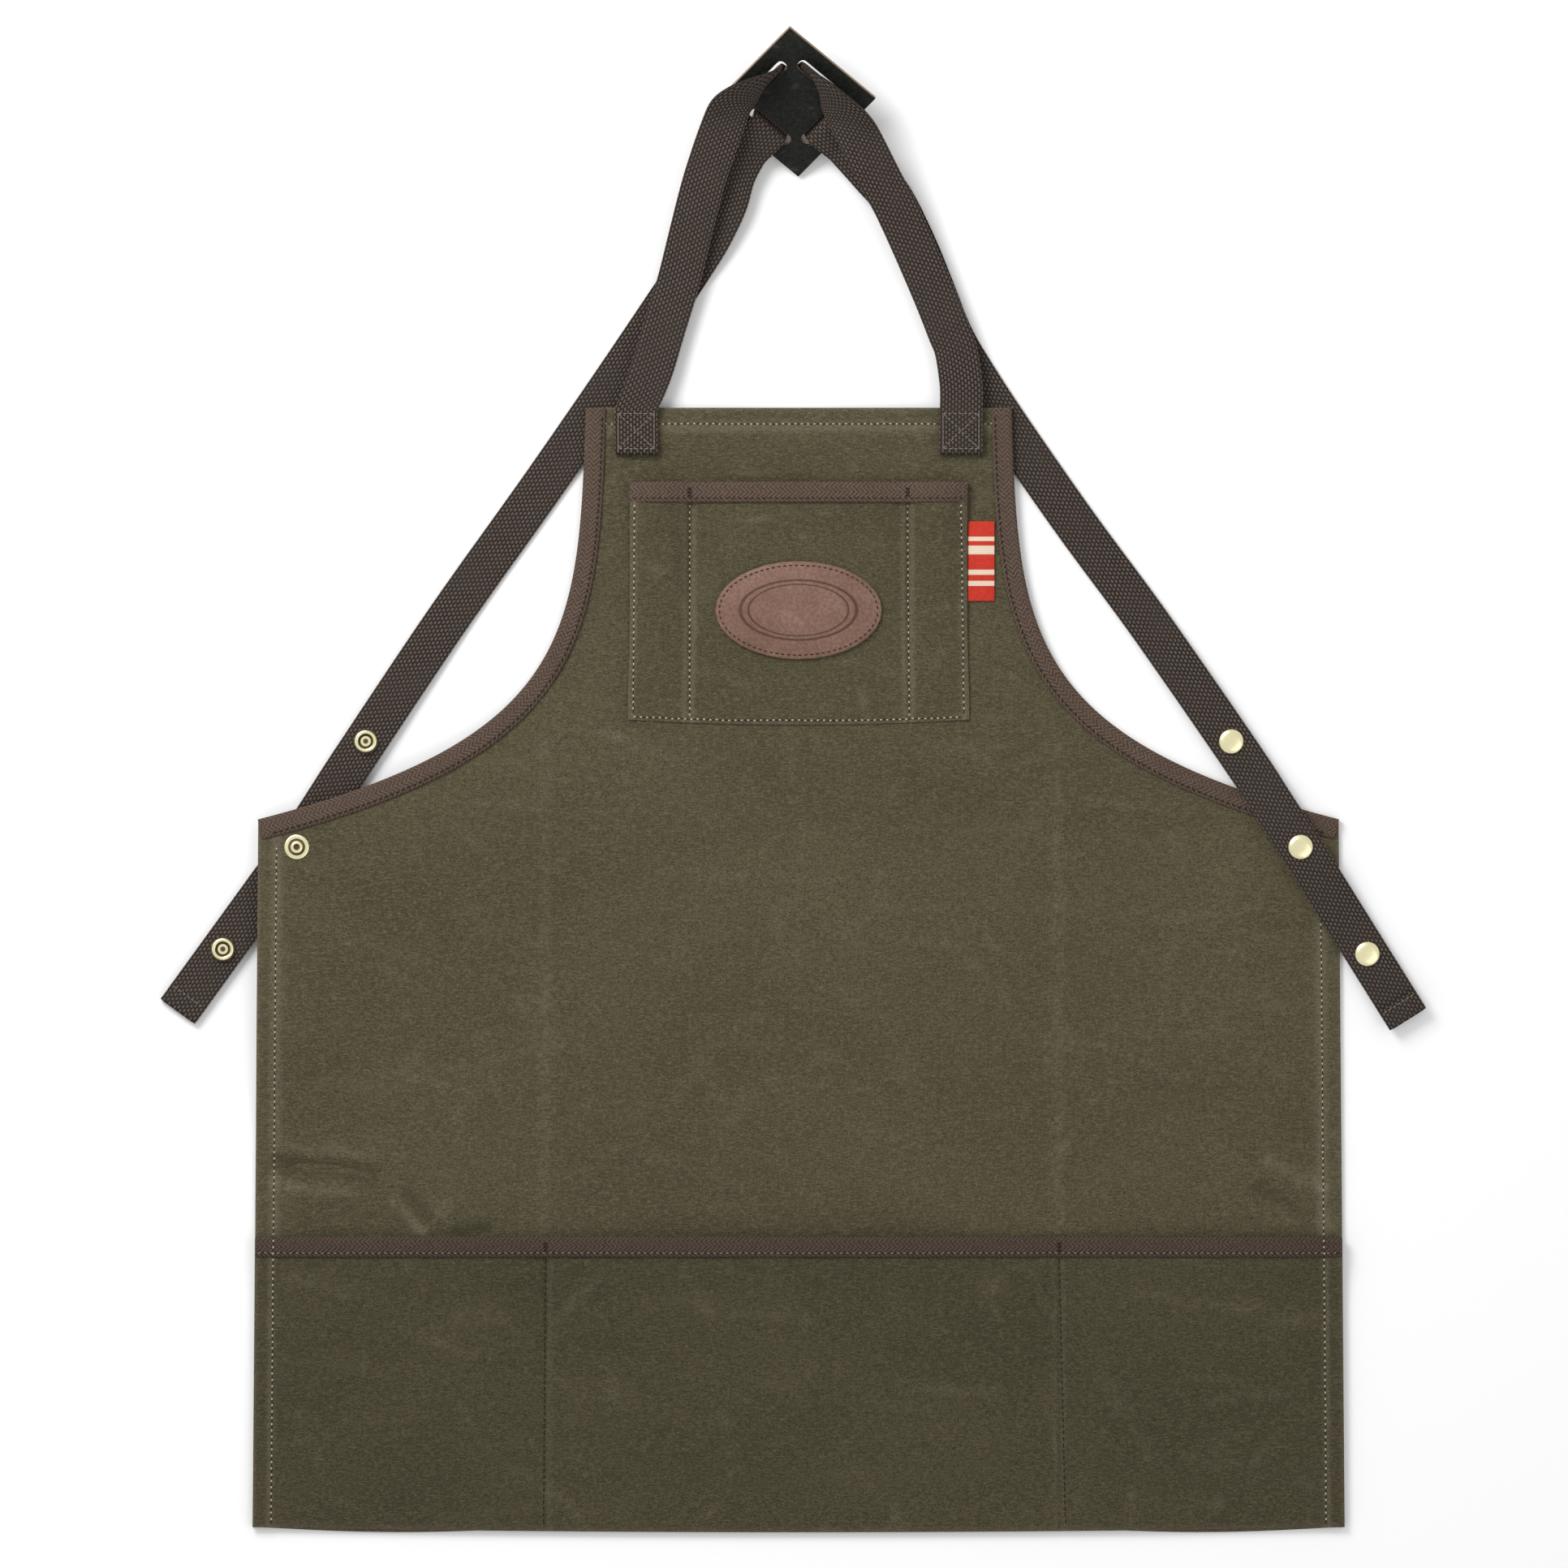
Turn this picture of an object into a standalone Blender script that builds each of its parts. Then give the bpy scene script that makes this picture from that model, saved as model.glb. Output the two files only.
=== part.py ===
"""Waxed canvas work apron with cross-back webbing straps, laid flat on its back face.

Metres, +Z up. X runs across the apron, +Y runs from the hem towards the bib and the straps.
The origin is on the centre line at the waist, on the underside of the canvas.
"""

import math

import bmesh
import bpy
from mathutils import Matrix, Vector

# Cloth, tape, webbing and leather
CANVAS_THICKNESS = 0.0010
TAPE_THICKNESS = 0.0009
TAPE_WIDTH = 0.0120
WEB_WIDTH = 0.0250
WEB_THICKNESS = 0.0022
GAP = 0.0003

# Body outline, heights above and below the waist line
HIP_WIDTH = 0.632
HEM_FLARE = 0.0035
BIB_WIDTH = 0.247
BIB_HEIGHT = 0.242
SKIRT_LENGTH = 0.413
HEM_WIDTH = 0.0120
HEM_STEP = 0.0040
EDGE_BAND = 0.030
EDGE_FALL = 0.060

# Lower pocket
POCKET_DEPTH = 0.169
POCKET_SEAM_LEFT = 0.148
POCKET_SEAM_RIGHT = 0.1525
POCKET_BULGE = 0.0062
POCKET_FLAP = 0.012
HEM_BELLY = 0.0030

# Bib pocket
BIB_POCKET_WIDTH = 0.1975
BIB_POCKET_DEPTH = 0.138
BIB_POCKET_DROP = 0.0445
PEN_SLOT_WIDTH = 0.0350
BIB_POCKET_BULGE = 0.0056
POCKET_SAG = 0.0030

# Patch and label
PATCH_LENGTH = 0.0975
PATCH_HEIGHT = 0.0575
PATCH_THICKNESS = 0.0022
PATCH_DROP = 0.0740
PATCH_GAP = 0.0004
LABEL_WIDTH = 0.0155
LABEL_LENGTH = 0.0465
LABEL_THICKNESS = 0.0010
LABEL_DROP = 0.0220

# Keeper
KEEPER_SIDE = 0.0675
KEEPER_THICKNESS = 0.0030
KEEPER_TILT = math.radians(26.0)
KEEPER_TURN = math.radians(3.0)
KEEPER_RISE = 0.1786
KEEPER_SHIFT = -0.0027
SLOT_OFFSET = 0.0210
SLOT_WIDTH = 0.0064
SLOT_EASE = 0.0050

# Strap ends on the bib and snaps
ANCHOR_SPREAD = 0.0950
ANCHOR_LENGTH = 0.0275
SNAP_RADIUS = 0.0073
SNAP_PITCH = 0.0738
CAP_HEIGHT = 0.0022
SHANK_RADIUS = 0.0022
HOLE_EASE = 0.0004
SOCKET_HEIGHT = 0.0034
SOCKET_BORE = 0.0044
STUD_RADIUS = 0.0036
STUD_FLANGE = 0.0008
STUD_KNOB = 0.0022
STUD_INSET = 0.0225
STUD_DROP = 0.0150
TAIL_END = 0.0430
END_FOLD = 0.0110
TAIL_SWING_LEFT = math.radians(-3.0)
TAIL_SWING_RIGHT = math.radians(-1.0)

HIP_HALF = HIP_WIDTH / 2
BIB_HALF = BIB_WIDTH / 2
WEB_HALF = WEB_WIDTH / 2
EDGE_RISE = TAPE_THICKNESS + 0.0006
LIFT_PLATEAU = WEB_HALF + 0.034
BIB_LIFT_FALL = 0.075
CORNER_LIFT_FALL = 0.120
FLOOR_CLEARANCE = 0.0001
STRAP_FLOOR = WEB_THICKNESS / 2 + FLOOR_CLEARANCE
TAIL_LEFT_Z = CAP_HEIGHT + GAP + WEB_THICKNESS / 2
TAIL_RIGHT_Z = SOCKET_HEIGHT + GAP + WEB_THICKNESS / 2
TAPE_GAP = 0.0005
EDGE_INSET = 0.0022
LEVELLING = 9
BODY_STEPS = 18
SKIRT_STEPS = 10
WAIST_ROWS = (0.0035, TAPE_WIDTH + 0.001, TAPE_WIDTH + HEM_STEP, 0.028, 0.045, 0.065, 0.090)
ARMHOLE_SHARES = (0.0, 0.035, 0.06, 0.10, 0.15, 0.20, 0.26, 0.32, 0.39, 0.46, 0.53, 0.60, 0.66,
                  0.72, 0.77, 0.82, 0.86, 0.90, 0.935, 0.97, 1.0)
FOLD_RADIUS = (WEB_THICKNESS + GAP) / 2
KEEPER_CENTRE = Vector((
    KEEPER_SHIFT,
    BIB_HEIGHT + KEEPER_RISE,
    KEEPER_SIDE / math.sqrt(2) * math.sin(KEEPER_TILT) + KEEPER_THICKNESS / 2,
))

# Front runs: share of the way across and up from the bib to the slot, share of the rise to the
# slot, turn of the strap's width in plan and its dip, in degrees. The left strap comes first.
FRONT_RUN_LEFT = (
    # across, up, rise, turn, dip
    (0.124, 0.123, 0.00, -18, 0),
    (0.210, 0.240, -0.03, -17, 0),
    (0.322, 0.389, -0.02, -15, 0),
    (0.400, 0.515, 0.10, -14, 0),
    (0.502, 0.677, 0.31, -16, 0),
    (0.590, 0.790, 0.50, -16, -2),
    (0.669, 0.878, 0.71, -15, -8),
    (0.720, 0.924, 0.96, -21, -24),
    (0.795, 0.953, 1.16, -36, -44),
    (0.876, 0.972, 1.28, -67, -57),
    (0.960, 0.985, 1.24, -112, -48),
)
FRONT_RUN_RIGHT = (
    (0.000, 0.068, 0.00, 4, 0),
    (0.035, 0.174, -0.02, 16, 0),
    (0.079, 0.226, -0.02, 21, 0),
    (0.188, 0.347, 0.00, 23, 0),
    (0.351, 0.512, 0.13, 24, 0),
    (0.469, 0.623, 0.29, 27, 0),
    (0.556, 0.692, 0.40, 27, 0),
    (0.698, 0.815, 0.64, 20, 4),
    (0.783, 0.878, 0.88, 18, 25),
    (0.871, 0.922, 1.13, 34, 47),
    (0.948, 0.958, 1.28, 68, 58),
    (1.000, 0.982, 1.24, 112, 48),
)
# Back runs: share of the way from the keeper to the stud, sideways share, share of the height
# left over the floor
BACK_RUN_LEFT = (
    # along, aside, height
    (0.030, -0.0020, 0.90),
    (0.070, -0.0125, 0.66),
    (0.115, -0.0180, 0.38),
    (0.155, -0.0185, 0.18),
    (0.210, -0.0180, 0.03),
    (0.340, -0.0155, 0.0),
    (0.485, -0.0110, 0.0),
    (0.670, -0.0030, 0.0),
)
BACK_RUN_RIGHT = (
    (0.047, 0.0080, 0.88),
    (0.086, 0.0130, 0.60),
    (0.150, 0.0055, 0.22),
    (0.205, -0.0050, 0.04),
    (0.260, -0.0160, 0.0),
    (0.310, -0.0190, 0.0),
    (0.390, -0.0190, 0.0),
    (0.530, -0.0145, 0.0),
    (0.675, -0.0060, 0.0),
)
# Pass below the keeper: share of the slot's offset along the pass, height in strap thicknesses
PASS_UPPER = (
    # along, height
    (-1.00, 2.20), (-1.00, 0.90), (-1.00, -0.27), (-0.93, -1.32), (-0.74, -1.50), (0.0, -1.50),
    (0.74, -1.50), (0.93, -1.32), (1.00, -0.27), (1.03, 0.90), (1.15, 1.50), (1.40, 1.55),
    (1.64, 1.55), (1.88, 1.45),
)
PASS_LOWER = (
    (-1.00, 2.20), (-1.00, 0.90), (-1.00, -0.45), (-0.95, -1.73), (-0.74, -2.68), (0.0, -2.77),
    (0.74, -2.68), (0.95, -1.73), (1.00, -0.45), (1.03, 0.90), (1.15, 1.50), (1.40, 1.55),
    (1.64, 1.55), (1.88, 1.45),
)


def clear_scene():
    for item in list(bpy.data.objects):
        bpy.data.objects.remove(item, do_unlink=True)


def smooth_share(value):
    value = min(max(value, 0.0), 1.0)
    return value * value * (3.0 - 2.0 * value)


def material(name, colour, roughness, metallic=0.0):
    made = bpy.data.materials.new(name)
    made.use_nodes = True
    shader = made.node_tree.nodes["Principled BSDF"]
    shader.inputs["Base Color"].default_value = (*colour, 1.0)
    shader.inputs["Roughness"].default_value = roughness
    shader.inputs["Metallic"].default_value = metallic
    made.diffuse_color = (*colour, 1.0)
    return made


def finish(name, bm, finish_material, smooth=False):
    bmesh.ops.recalc_face_normals(bm, faces=bm.faces[:])
    if bm.calc_volume(signed=True) < 0.0:
        bmesh.ops.reverse_faces(bm, faces=bm.faces[:])
    mesh = bpy.data.meshes.new(name)
    bm.to_mesh(mesh)
    bm.free()
    mesh.materials.append(finish_material)
    if smooth:
        mesh.shade_smooth()
        mesh.set_sharp_from_angle(angle=math.radians(35))
    made = bpy.data.objects.new(name, mesh)
    bpy.context.collection.objects.link(made)
    return made


def slab(name, columns, rows, low, high, finish_material):
    """A grid of columns by rows points, extruded from its low face to its high face."""
    bm = bmesh.new()
    bmesh.ops.create_grid(bm, x_segments=columns - 1, y_segments=rows - 1, size=0.5)

    def cell(vert):
        return (round((vert.co.x + 0.5) * (columns - 1)), round((vert.co.y + 0.5) * (rows - 1)))

    lower = [(vert, cell(vert)) for vert in bm.verts]
    raised = bmesh.ops.extrude_face_region(bm, geom=bm.faces[:])["geom"]
    upper = [(vert, cell(vert)) for vert in raised if isinstance(vert, bmesh.types.BMVert)]
    for vert, place in lower:
        vert.co = low(*place)
    for vert, place in upper:
        vert.co = high(*place)
    return finish(name, bm, finish_material, smooth=True)


def armhole(share):
    """Point on the right armhole edge, from the bib's corner at 0 to the waist corner at 1."""
    start = Vector((BIB_HALF, BIB_HEIGHT))
    first = Vector((BIB_HALF + 0.0035, BIB_HEIGHT * 0.455))
    second = Vector((BIB_HALF + 0.0065, BIB_HEIGHT * 0.198))
    end = Vector((HIP_HALF, 0.0))
    rest = 1.0 - share
    return (rest ** 3 * start + 3 * rest ** 2 * share * first
            + 3 * rest * share ** 2 * second + share ** 3 * end)


def half_width(y):
    if y <= 0.0:
        return HIP_HALF + HEM_FLARE * -y / SKIRT_LENGTH
    if y >= BIB_HEIGHT:
        return BIB_HALF
    low, high = 0.0, 1.0
    for _ in range(40):
        middle = (low + high) / 2
        if armhole(middle).y > y:
            low = middle
        else:
            high = middle
    return armhole(low).x


def edge_distance(x, y):
    """Rough distance from the nearest bound or hemmed edge of the body."""
    side = half_width(y) - abs(x)
    top = BIB_HEIGHT - y
    bottom = SKIRT_LENGTH + y
    if 0.0 < y < BIB_HEIGHT and side > 0.0:
        side = min(side, min((armhole(i / 24) - Vector((abs(x), y))).length for i in range(25)))
    return min(side, top, bottom)


def smooth_curve(points, steps):
    """Points of a smooth curve through the given ones, with the given steps in each stretch."""
    count = len(points)
    curve = []
    for index in range(count - 1):
        before = points[max(index - 1, 0)]
        start, end = points[index], points[index + 1]
        after = points[min(index + 2, count - 1)]
        for step in range(steps):
            curve.append(hermite(before, start, end, after, step / steps))
    curve.append(points[-1])
    return curve


def hermite(before, start, end, after, t):
    leave = (end - before) / 2
    arrive = (after - start) / 2
    return ((2 * t ** 3 - 3 * t ** 2 + 1) * start + (t ** 3 - 2 * t ** 2 + t) * leave
            + (3 * t ** 2 - 2 * t ** 3) * end + (t ** 3 - t ** 2) * arrive)


def keeper_frame():
    """Matrix that takes the keeper's own plane, with its corners on the axes, to its place."""
    return (Matrix.Translation(KEEPER_CENTRE) @ Matrix.Rotation(KEEPER_TILT, 4, "X")
            @ Matrix.Rotation(KEEPER_TURN, 4, "Z"))


def flat_width(direction):
    """Width direction of a level strap that runs in the given direction."""
    return Vector((direction.y, -direction.x, 0.0)).normalized()


def with_widths(centres):
    """Pair each point of a level run with the strap's width direction there."""
    paired = []
    for index, centre in enumerate(centres):
        before = centres[max(index - 1, 0)]
        after = centres[min(index + 1, len(centres) - 1)]
        paired.append((centre, flat_width(after - before)))
    return paired


def keeper_pass(side, table):
    """Strap stations through the two slots and below the keeper; side -1 enters at the left."""
    frame = keeper_frame()
    run = Vector((-side, -1.0, 0.0)).normalized()
    width = flat_width(run)
    turned = frame.to_3x3()
    return [(frame @ (run * along * SLOT_OFFSET + Vector((0, 0, height * WEB_THICKNESS))),
             turned @ width) for along, height in table]


def front_run(side, table, start, slot):
    """Stations from the bib up to the slot."""
    stations = []
    for across, up, rise, turn, dip in table:
        x = start.x + across * (slot.x - start.x)
        y = start.y + up * (slot.y - start.y)
        z = start.z + rise * (slot.z - start.z)
        angle, tip = math.radians(turn), math.radians(dip)
        width = Vector((math.cos(angle) * math.cos(tip), math.sin(angle) * math.cos(tip),
                        math.sin(tip)))
        stations.append((Vector((x, y, z)), width))
    return stations


def stud_point(side):
    return Vector((side * (HIP_HALF - STUD_INSET), -STUD_DROP))


def back_centres(side, table, start):
    """Plan of a back run from the keeper to its stud, with the height left over the floor."""
    stud = stud_point(side)
    span = stud - start.xy
    aside = Vector((span.y, -span.x)) * -side
    rows = [Vector((start.x, start.y, start.z))]
    for along, sideways, height in table:
        place = start.xy + along * span + sideways * aside
        z = STRAP_FLOOR + height * (start.z - STRAP_FLOOR)
        rows.append(Vector((place.x, place.y, z)))
    run = span.normalized()
    for back in (0.85, 0.42):
        place = stud - run * back * SNAP_PITCH
        rows.append(Vector((place.x, place.y, STRAP_FLOOR)))
    rows.append(Vector((stud.x, stud.y, STRAP_FLOOR)))
    swing = TAIL_SWING_LEFT if side < 0 else TAIL_SWING_RIGHT
    tail = Matrix.Rotation(swing, 2) @ run
    end = stud + tail * (SNAP_PITCH + TAIL_END)
    for share in (0.2, 0.4, 0.6, 0.8, 1.0):
        place = stud.lerp(end, share)
        rows.append(Vector((place.x, place.y, STRAP_FLOOR)))
    return smooth_curve(rows, 3)


def lengths_along(centres):
    """Plan length from the first point to each point."""
    lengths = [0.0]
    for before, after in zip(centres, centres[1:]):
        lengths.append(lengths[-1] + (after.xy - before.xy).length)
    return lengths


def point_at(centres, length):
    """Point of the run at a plan length from its start."""
    lengths = lengths_along(centres)
    for index in range(len(lengths) - 1):
        if lengths[index + 1] >= length:
            share = (length - lengths[index]) / (lengths[index + 1] - lengths[index])
            return centres[index].lerp(centres[index + 1], share)
    return centres[-1]


def stud_length(side, centres):
    """Plan length along the run up to its stud."""
    lengths = lengths_along(centres)
    stud = stud_point(side)
    nearest = min(range(len(centres)), key=lambda index: (centres[index].xy - stud).length)
    return lengths[nearest]


def set_tail(side, centres, heights):
    """Lift the tail to level stretches at the three snaps, with smooth slopes between them."""
    reach = stud_length(side, centres)
    level = SNAP_RADIUS + 0.003
    marks = [(reach - 2.6 * SNAP_PITCH, None)]
    for step, height in zip((-1, 0, 1), heights):
        marks.append((reach + step * SNAP_PITCH - level, height))
        marks.append((reach + step * SNAP_PITCH + level, height))
    stops = sorted([mark[0] for mark in marks[1:]] + [reach + step * SNAP_PITCH
                                                     for step in (-1, 0, 1)])
    lengths = lengths_along(centres)
    kept = [length for length in lengths
            if min(abs(length - stop) for stop in stops) > 0.004]
    made = []
    for length in sorted(kept + stops):
        point = point_at(centres, length)
        height = point.z
        for (left, low), (right, high) in zip(marks, marks[1:]):
            if left <= length <= right:
                low = STRAP_FLOOR if low is None else low
                height = low + (high - low) * smooth_share((length - left) / (right - left))
        if length > marks[-1][0]:
            height = marks[-1][1]
        made.append(Vector((point.x, point.y, height)))
    return made


def snap_points(side, centres):
    """Centres of the three snaps, as points on the strap's middle plane."""
    reach = stud_length(side, centres)
    return [point_at(centres, reach + step * SNAP_PITCH) for step in (-1, 0, 1)]


def fold_back(stations, end, length, upward):
    """Double a strap's end: the last stations turn over and run back above or below it."""
    centre, width = stations[end]
    inner = stations[end + (1 if end == 0 else -1)][0]
    run = centre - inner
    run.z = 0.0
    run.normalize()
    rise = 1.0 if upward else -1.0
    turned = []
    for degrees in (45, 90, 135):
        angle = math.radians(degrees)
        turned.append(centre + run * math.sin(angle) * FOLD_RADIUS
                      + Vector((0, 0, rise * FOLD_RADIUS * (1 - math.cos(angle)))))
    level = Vector((0, 0, rise * 2 * FOLD_RADIUS))
    for share in (0.0, 0.5, 1.0):
        turned.append(centre + level - run * share * length)
    folded = [(point, width) for point in turned]
    if end == 0:
        return list(reversed(folded)) + stations
    return stations + folded


def ribbon(name, stations, ribbon_material):
    """A strap of constant width and thickness through its stations."""
    halves = []
    last = len(stations) - 1
    for index, (centre, width) in enumerate(stations):
        before = stations[max(index - 1, 0)][0]
        after = stations[min(index + 1, last)][0]
        face = width.cross(after - before).normalized()
        halves.append((centre, width.normalized() * WEB_HALF, face * WEB_THICKNESS / 2))

    def corner(sign):
        def place(column, row):
            centre, across, face = halves[row]
            return centre + across * (2 * column - 1) + face * sign
        return place

    return slab(name, 2, len(stations), corner(-1), corner(1), ribbon_material)


def smooth_stations(stations, steps):
    """More stations through the given ones, with their widths turned smoothly."""
    centres = smooth_curve([station[0] for station in stations], steps)
    widths = smooth_curve([station[1] for station in stations], steps)
    return list(zip(centres, [width.normalized() for width in widths]))


def shelter_points(centres, from_length, to_length, extra, fall):
    """Points along a run below the cloth: the height it needs there, and how far it slopes."""
    lengths = lengths_along(centres)
    return [(centre.xy, centre.z + WEB_THICKNESS / 2 + extra, fall)
            for centre, length in zip(centres, lengths) if from_length <= length <= to_length]


def body_bottom(x, y, shelters):
    """Underside of the single canvas."""
    rise = EDGE_RISE * (1.0 - smooth_share((edge_distance(x, y) - EDGE_BAND) / EDGE_FALL))
    place = Vector((x, y))
    for point, need, fall in shelters:
        distance = (point - place).length
        if distance < LIFT_PLATEAU + fall:
            rise = max(rise, need * (1.0 - smooth_share((distance - LIFT_PLATEAU) / fall)))
    return rise


def body_rows():
    """Heights of the body's rows, from the bib's top to the hem."""
    rows = [armhole(share).y for share in ARMHOLE_SHARES]
    rows += [-drop for drop in WAIST_ROWS]
    flap_row = SKIRT_LENGTH - POCKET_FLAP - HEM_STEP
    start = WAIST_ROWS[-1]
    rows += [-(start + (flap_row - start) * step / SKIRT_STEPS)
             for step in range(1, SKIRT_STEPS + 1)]
    rows += [-(SKIRT_LENGTH - POCKET_FLAP), -(SKIRT_LENGTH - EDGE_INSET)]
    return rows


def body_columns(y):
    """Places of the body's columns across one row: the hems first, then even shares."""
    half = half_width(y)
    inner = half - HEM_WIDTH - HEM_STEP
    steps = BODY_STEPS
    middle = [inner * (2 * step / steps - 1) for step in range(steps + 1)]
    return [-half, -(half - HEM_WIDTH)] + middle + [half - HEM_WIDTH, half]


def make_body(shelters, canvas):
    rows = body_rows()
    columns = [body_columns(y) for y in rows]
    count = len(columns[0])
    top_hem = BIB_HEIGHT - HEM_WIDTH
    side_hem_top = -(TAPE_WIDTH + HEM_STEP / 2)
    side_hem_end = -(SKIRT_LENGTH - POCKET_FLAP - HEM_STEP / 2)

    def low(column, row):
        x, y = columns[row][column], rows[row]
        z = body_bottom(x, y, shelters)
        outer = column in (0, 1, count - 2, count - 1)
        if outer and side_hem_end < y < side_hem_top:
            z -= CANVAS_THICKNESS
        if not outer and y > top_hem:
            z -= CANVAS_THICKNESS
        return Vector((x, y, z))

    def high(column, row):
        x, y = columns[row][column], rows[row]
        return Vector((x, y, body_bottom(x, y, shelters) + CANVAS_THICKNESS))

    return slab("body_panel", count, len(rows), low, high, canvas)


def make_binding(name, edge, underside, thickness, tape):
    """Tape folded round a cloth edge, given as points with their inward directions."""
    sections = []
    for point, inward in edge:
        section = []
        for depth, wall_depth, over in (
            (TAPE_WIDTH, TAPE_WIDTH, 0.0),
            (TAPE_WIDTH / 2, TAPE_WIDTH / 2, 0.0),
            (-TAPE_GAP / 2, -TAPE_GAP / 2, 0.0),
            (-TAPE_GAP, -TAPE_GAP - TAPE_THICKNESS, 0.5),
            (-TAPE_GAP / 2, -TAPE_GAP / 2, 1.0),
            (TAPE_WIDTH / 2, TAPE_WIDTH / 2, 1.0),
            (TAPE_WIDTH, TAPE_WIDTH, 1.0),
        ):
            inner, outer = point + inward * depth, point + inward * wall_depth
            cloth = point + inward * max(depth, 0.0)
            z = underside(cloth.x, cloth.y) - TAPE_GAP + over * (thickness + 2 * TAPE_GAP)
            wall = (2 * over - 1) * TAPE_THICKNESS
            section.append((Vector((inner.x, inner.y, z)),
                            Vector((outer.x, outer.y, z + wall))))
        sections.append(section)

    return slab(name, 7, len(sections), lambda column, row: sections[row][column][0],
                lambda column, row: sections[row][column][1], tape)


def arch(share):
    """Gape of a pocket across one compartment: nought at its seams, one in the middle."""
    return 1.0 - abs(2.0 * share - 1.0) ** 3


def compartment_columns(bounds, steps):
    """Column places across a pocket with the share of the gape at each of them."""
    columns = [(bounds[0], 0.0)]
    for left, right, count in zip(bounds, bounds[1:], steps):
        for step in range(1, count + 1):
            share = step / count
            columns.append((left + (right - left) * share, arch(share)))
    return columns


def gape(columns, x):
    """The share of the gape between the columns."""
    for (left, low), (right, high) in zip(columns, columns[1:]):
        if x <= right:
            return low + (high - low) * (x - left) / (right - left)
    return columns[-1][1]


def pocket_seat(fall):
    """Height of a pocket over the cloth at its seams; the mouth leaves room for its tape."""
    mouth_seat = TAPE_THICKNESS + 2 * TAPE_GAP
    share = smooth_share((fall - TAPE_WIDTH - 0.002) / 0.016)
    return mouth_seat + (GAP - mouth_seat) * share


def make_lower_pocket(shelters, canvas, tape):
    mouth = -(SKIRT_LENGTH - POCKET_DEPTH)
    edge = half_width(mouth)
    columns = compartment_columns((-edge, -POCKET_SEAM_LEFT, POCKET_SEAM_RIGHT, edge), (6, 10, 6))
    falls = [0.0, 0.013, 0.022, 0.034, 0.055, 0.080, 0.105, 0.130, POCKET_DEPTH - 0.0125]

    def inside(x, y):
        fall = mouth - y
        bulge = POCKET_BULGE * (1.0 - smooth_share((fall / POCKET_DEPTH - 0.25) / 0.70))
        over = pocket_seat(fall) + bulge * gape(columns, x)
        return body_bottom(x, y, shelters) + CANVAS_THICKNESS + over

    rows = [("front", fall) for fall in falls]
    rows += [("roll", degrees) for degrees in (0, 60, 120, 180)]
    rows += [("flap", 1.0)]
    inner = CANVAS_THICKNESS / 2 + GAP

    def surface(column, row, wall):
        x = columns[column][0]
        kind, value = rows[row]
        if kind == "front":
            x *= half_width(mouth - value) / edge
            return Vector((x, mouth - value, inside(x, mouth - value) + wall))
        x *= half_width(-SKIRT_LENGTH) / edge
        belly = HEM_BELLY * (1.0 - (x / edge) ** 2)
        centre_y = -SKIRT_LENGTH + inner + CANVAS_THICKNESS - belly
        hem_y = max(centre_y, -SKIRT_LENGTH + EDGE_INSET)
        centre_z = body_bottom(x, hem_y, shelters) + CANVAS_THICKNESS / 2
        radius = inner + wall
        if kind == "roll":
            angle = math.radians(value)
            return Vector((x, centre_y - radius * math.sin(angle),
                           centre_z + radius * math.cos(angle)))
        return Vector((x, centre_y + value * (POCKET_FLAP - 0.004), centre_z - radius))

    slab("lower_pocket", len(columns), len(rows),
         lambda column, row: surface(column, row, 0.0),
         lambda column, row: surface(column, row, CANVAS_THICKNESS), canvas)
    line = [(Vector((x, mouth)), Vector((0.0, -1.0))) for x, _ in columns]
    make_binding("lower_pocket_binding", line, inside, CANVAS_THICKNESS, tape)


def make_bib_pocket(shelters, canvas, tape):
    """The bib pocket and its tape; gives back the function of its outer surface."""
    mouth = BIB_HEIGHT - BIB_POCKET_DROP
    edge = BIB_POCKET_WIDTH / 2
    seam = edge - PEN_SLOT_WIDTH
    columns = compartment_columns((-edge, -seam, seam, edge), (6, 10, 6))
    falls = [0.0, 0.013, 0.022, 0.032, 0.045, 0.059, 0.073, 0.087, 0.101, 0.118,
             BIB_POCKET_DEPTH]

    def inside(x, y):
        fall = mouth - y
        bulge = BIB_POCKET_BULGE * (1.0 - smooth_share((fall / BIB_POCKET_DEPTH - 0.25) / 0.70))
        over = pocket_seat(fall) + bulge * gape(columns, x)
        return body_bottom(x, y, shelters) + CANVAS_THICKNESS + over

    def surface(column, row, wall):
        x = columns[column][0]
        fall = falls[row]
        y = mouth - fall
        if row == len(falls) - 1:
            y -= POCKET_SAG * (1.0 - (x / edge) ** 2)
        return Vector((x, y, inside(x, y) + wall))

    slab("bib_pocket", len(columns), len(falls),
         lambda column, row: surface(column, row, 0.0),
         lambda column, row: surface(column, row, CANVAS_THICKNESS), canvas)
    line = [(Vector((x, mouth)), Vector((0.0, -1.0))) for x, _ in columns]
    make_binding("bib_pocket_binding", line, inside, CANVAS_THICKNESS, tape)
    return lambda x, y: inside(x, y) + CANVAS_THICKNESS


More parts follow.
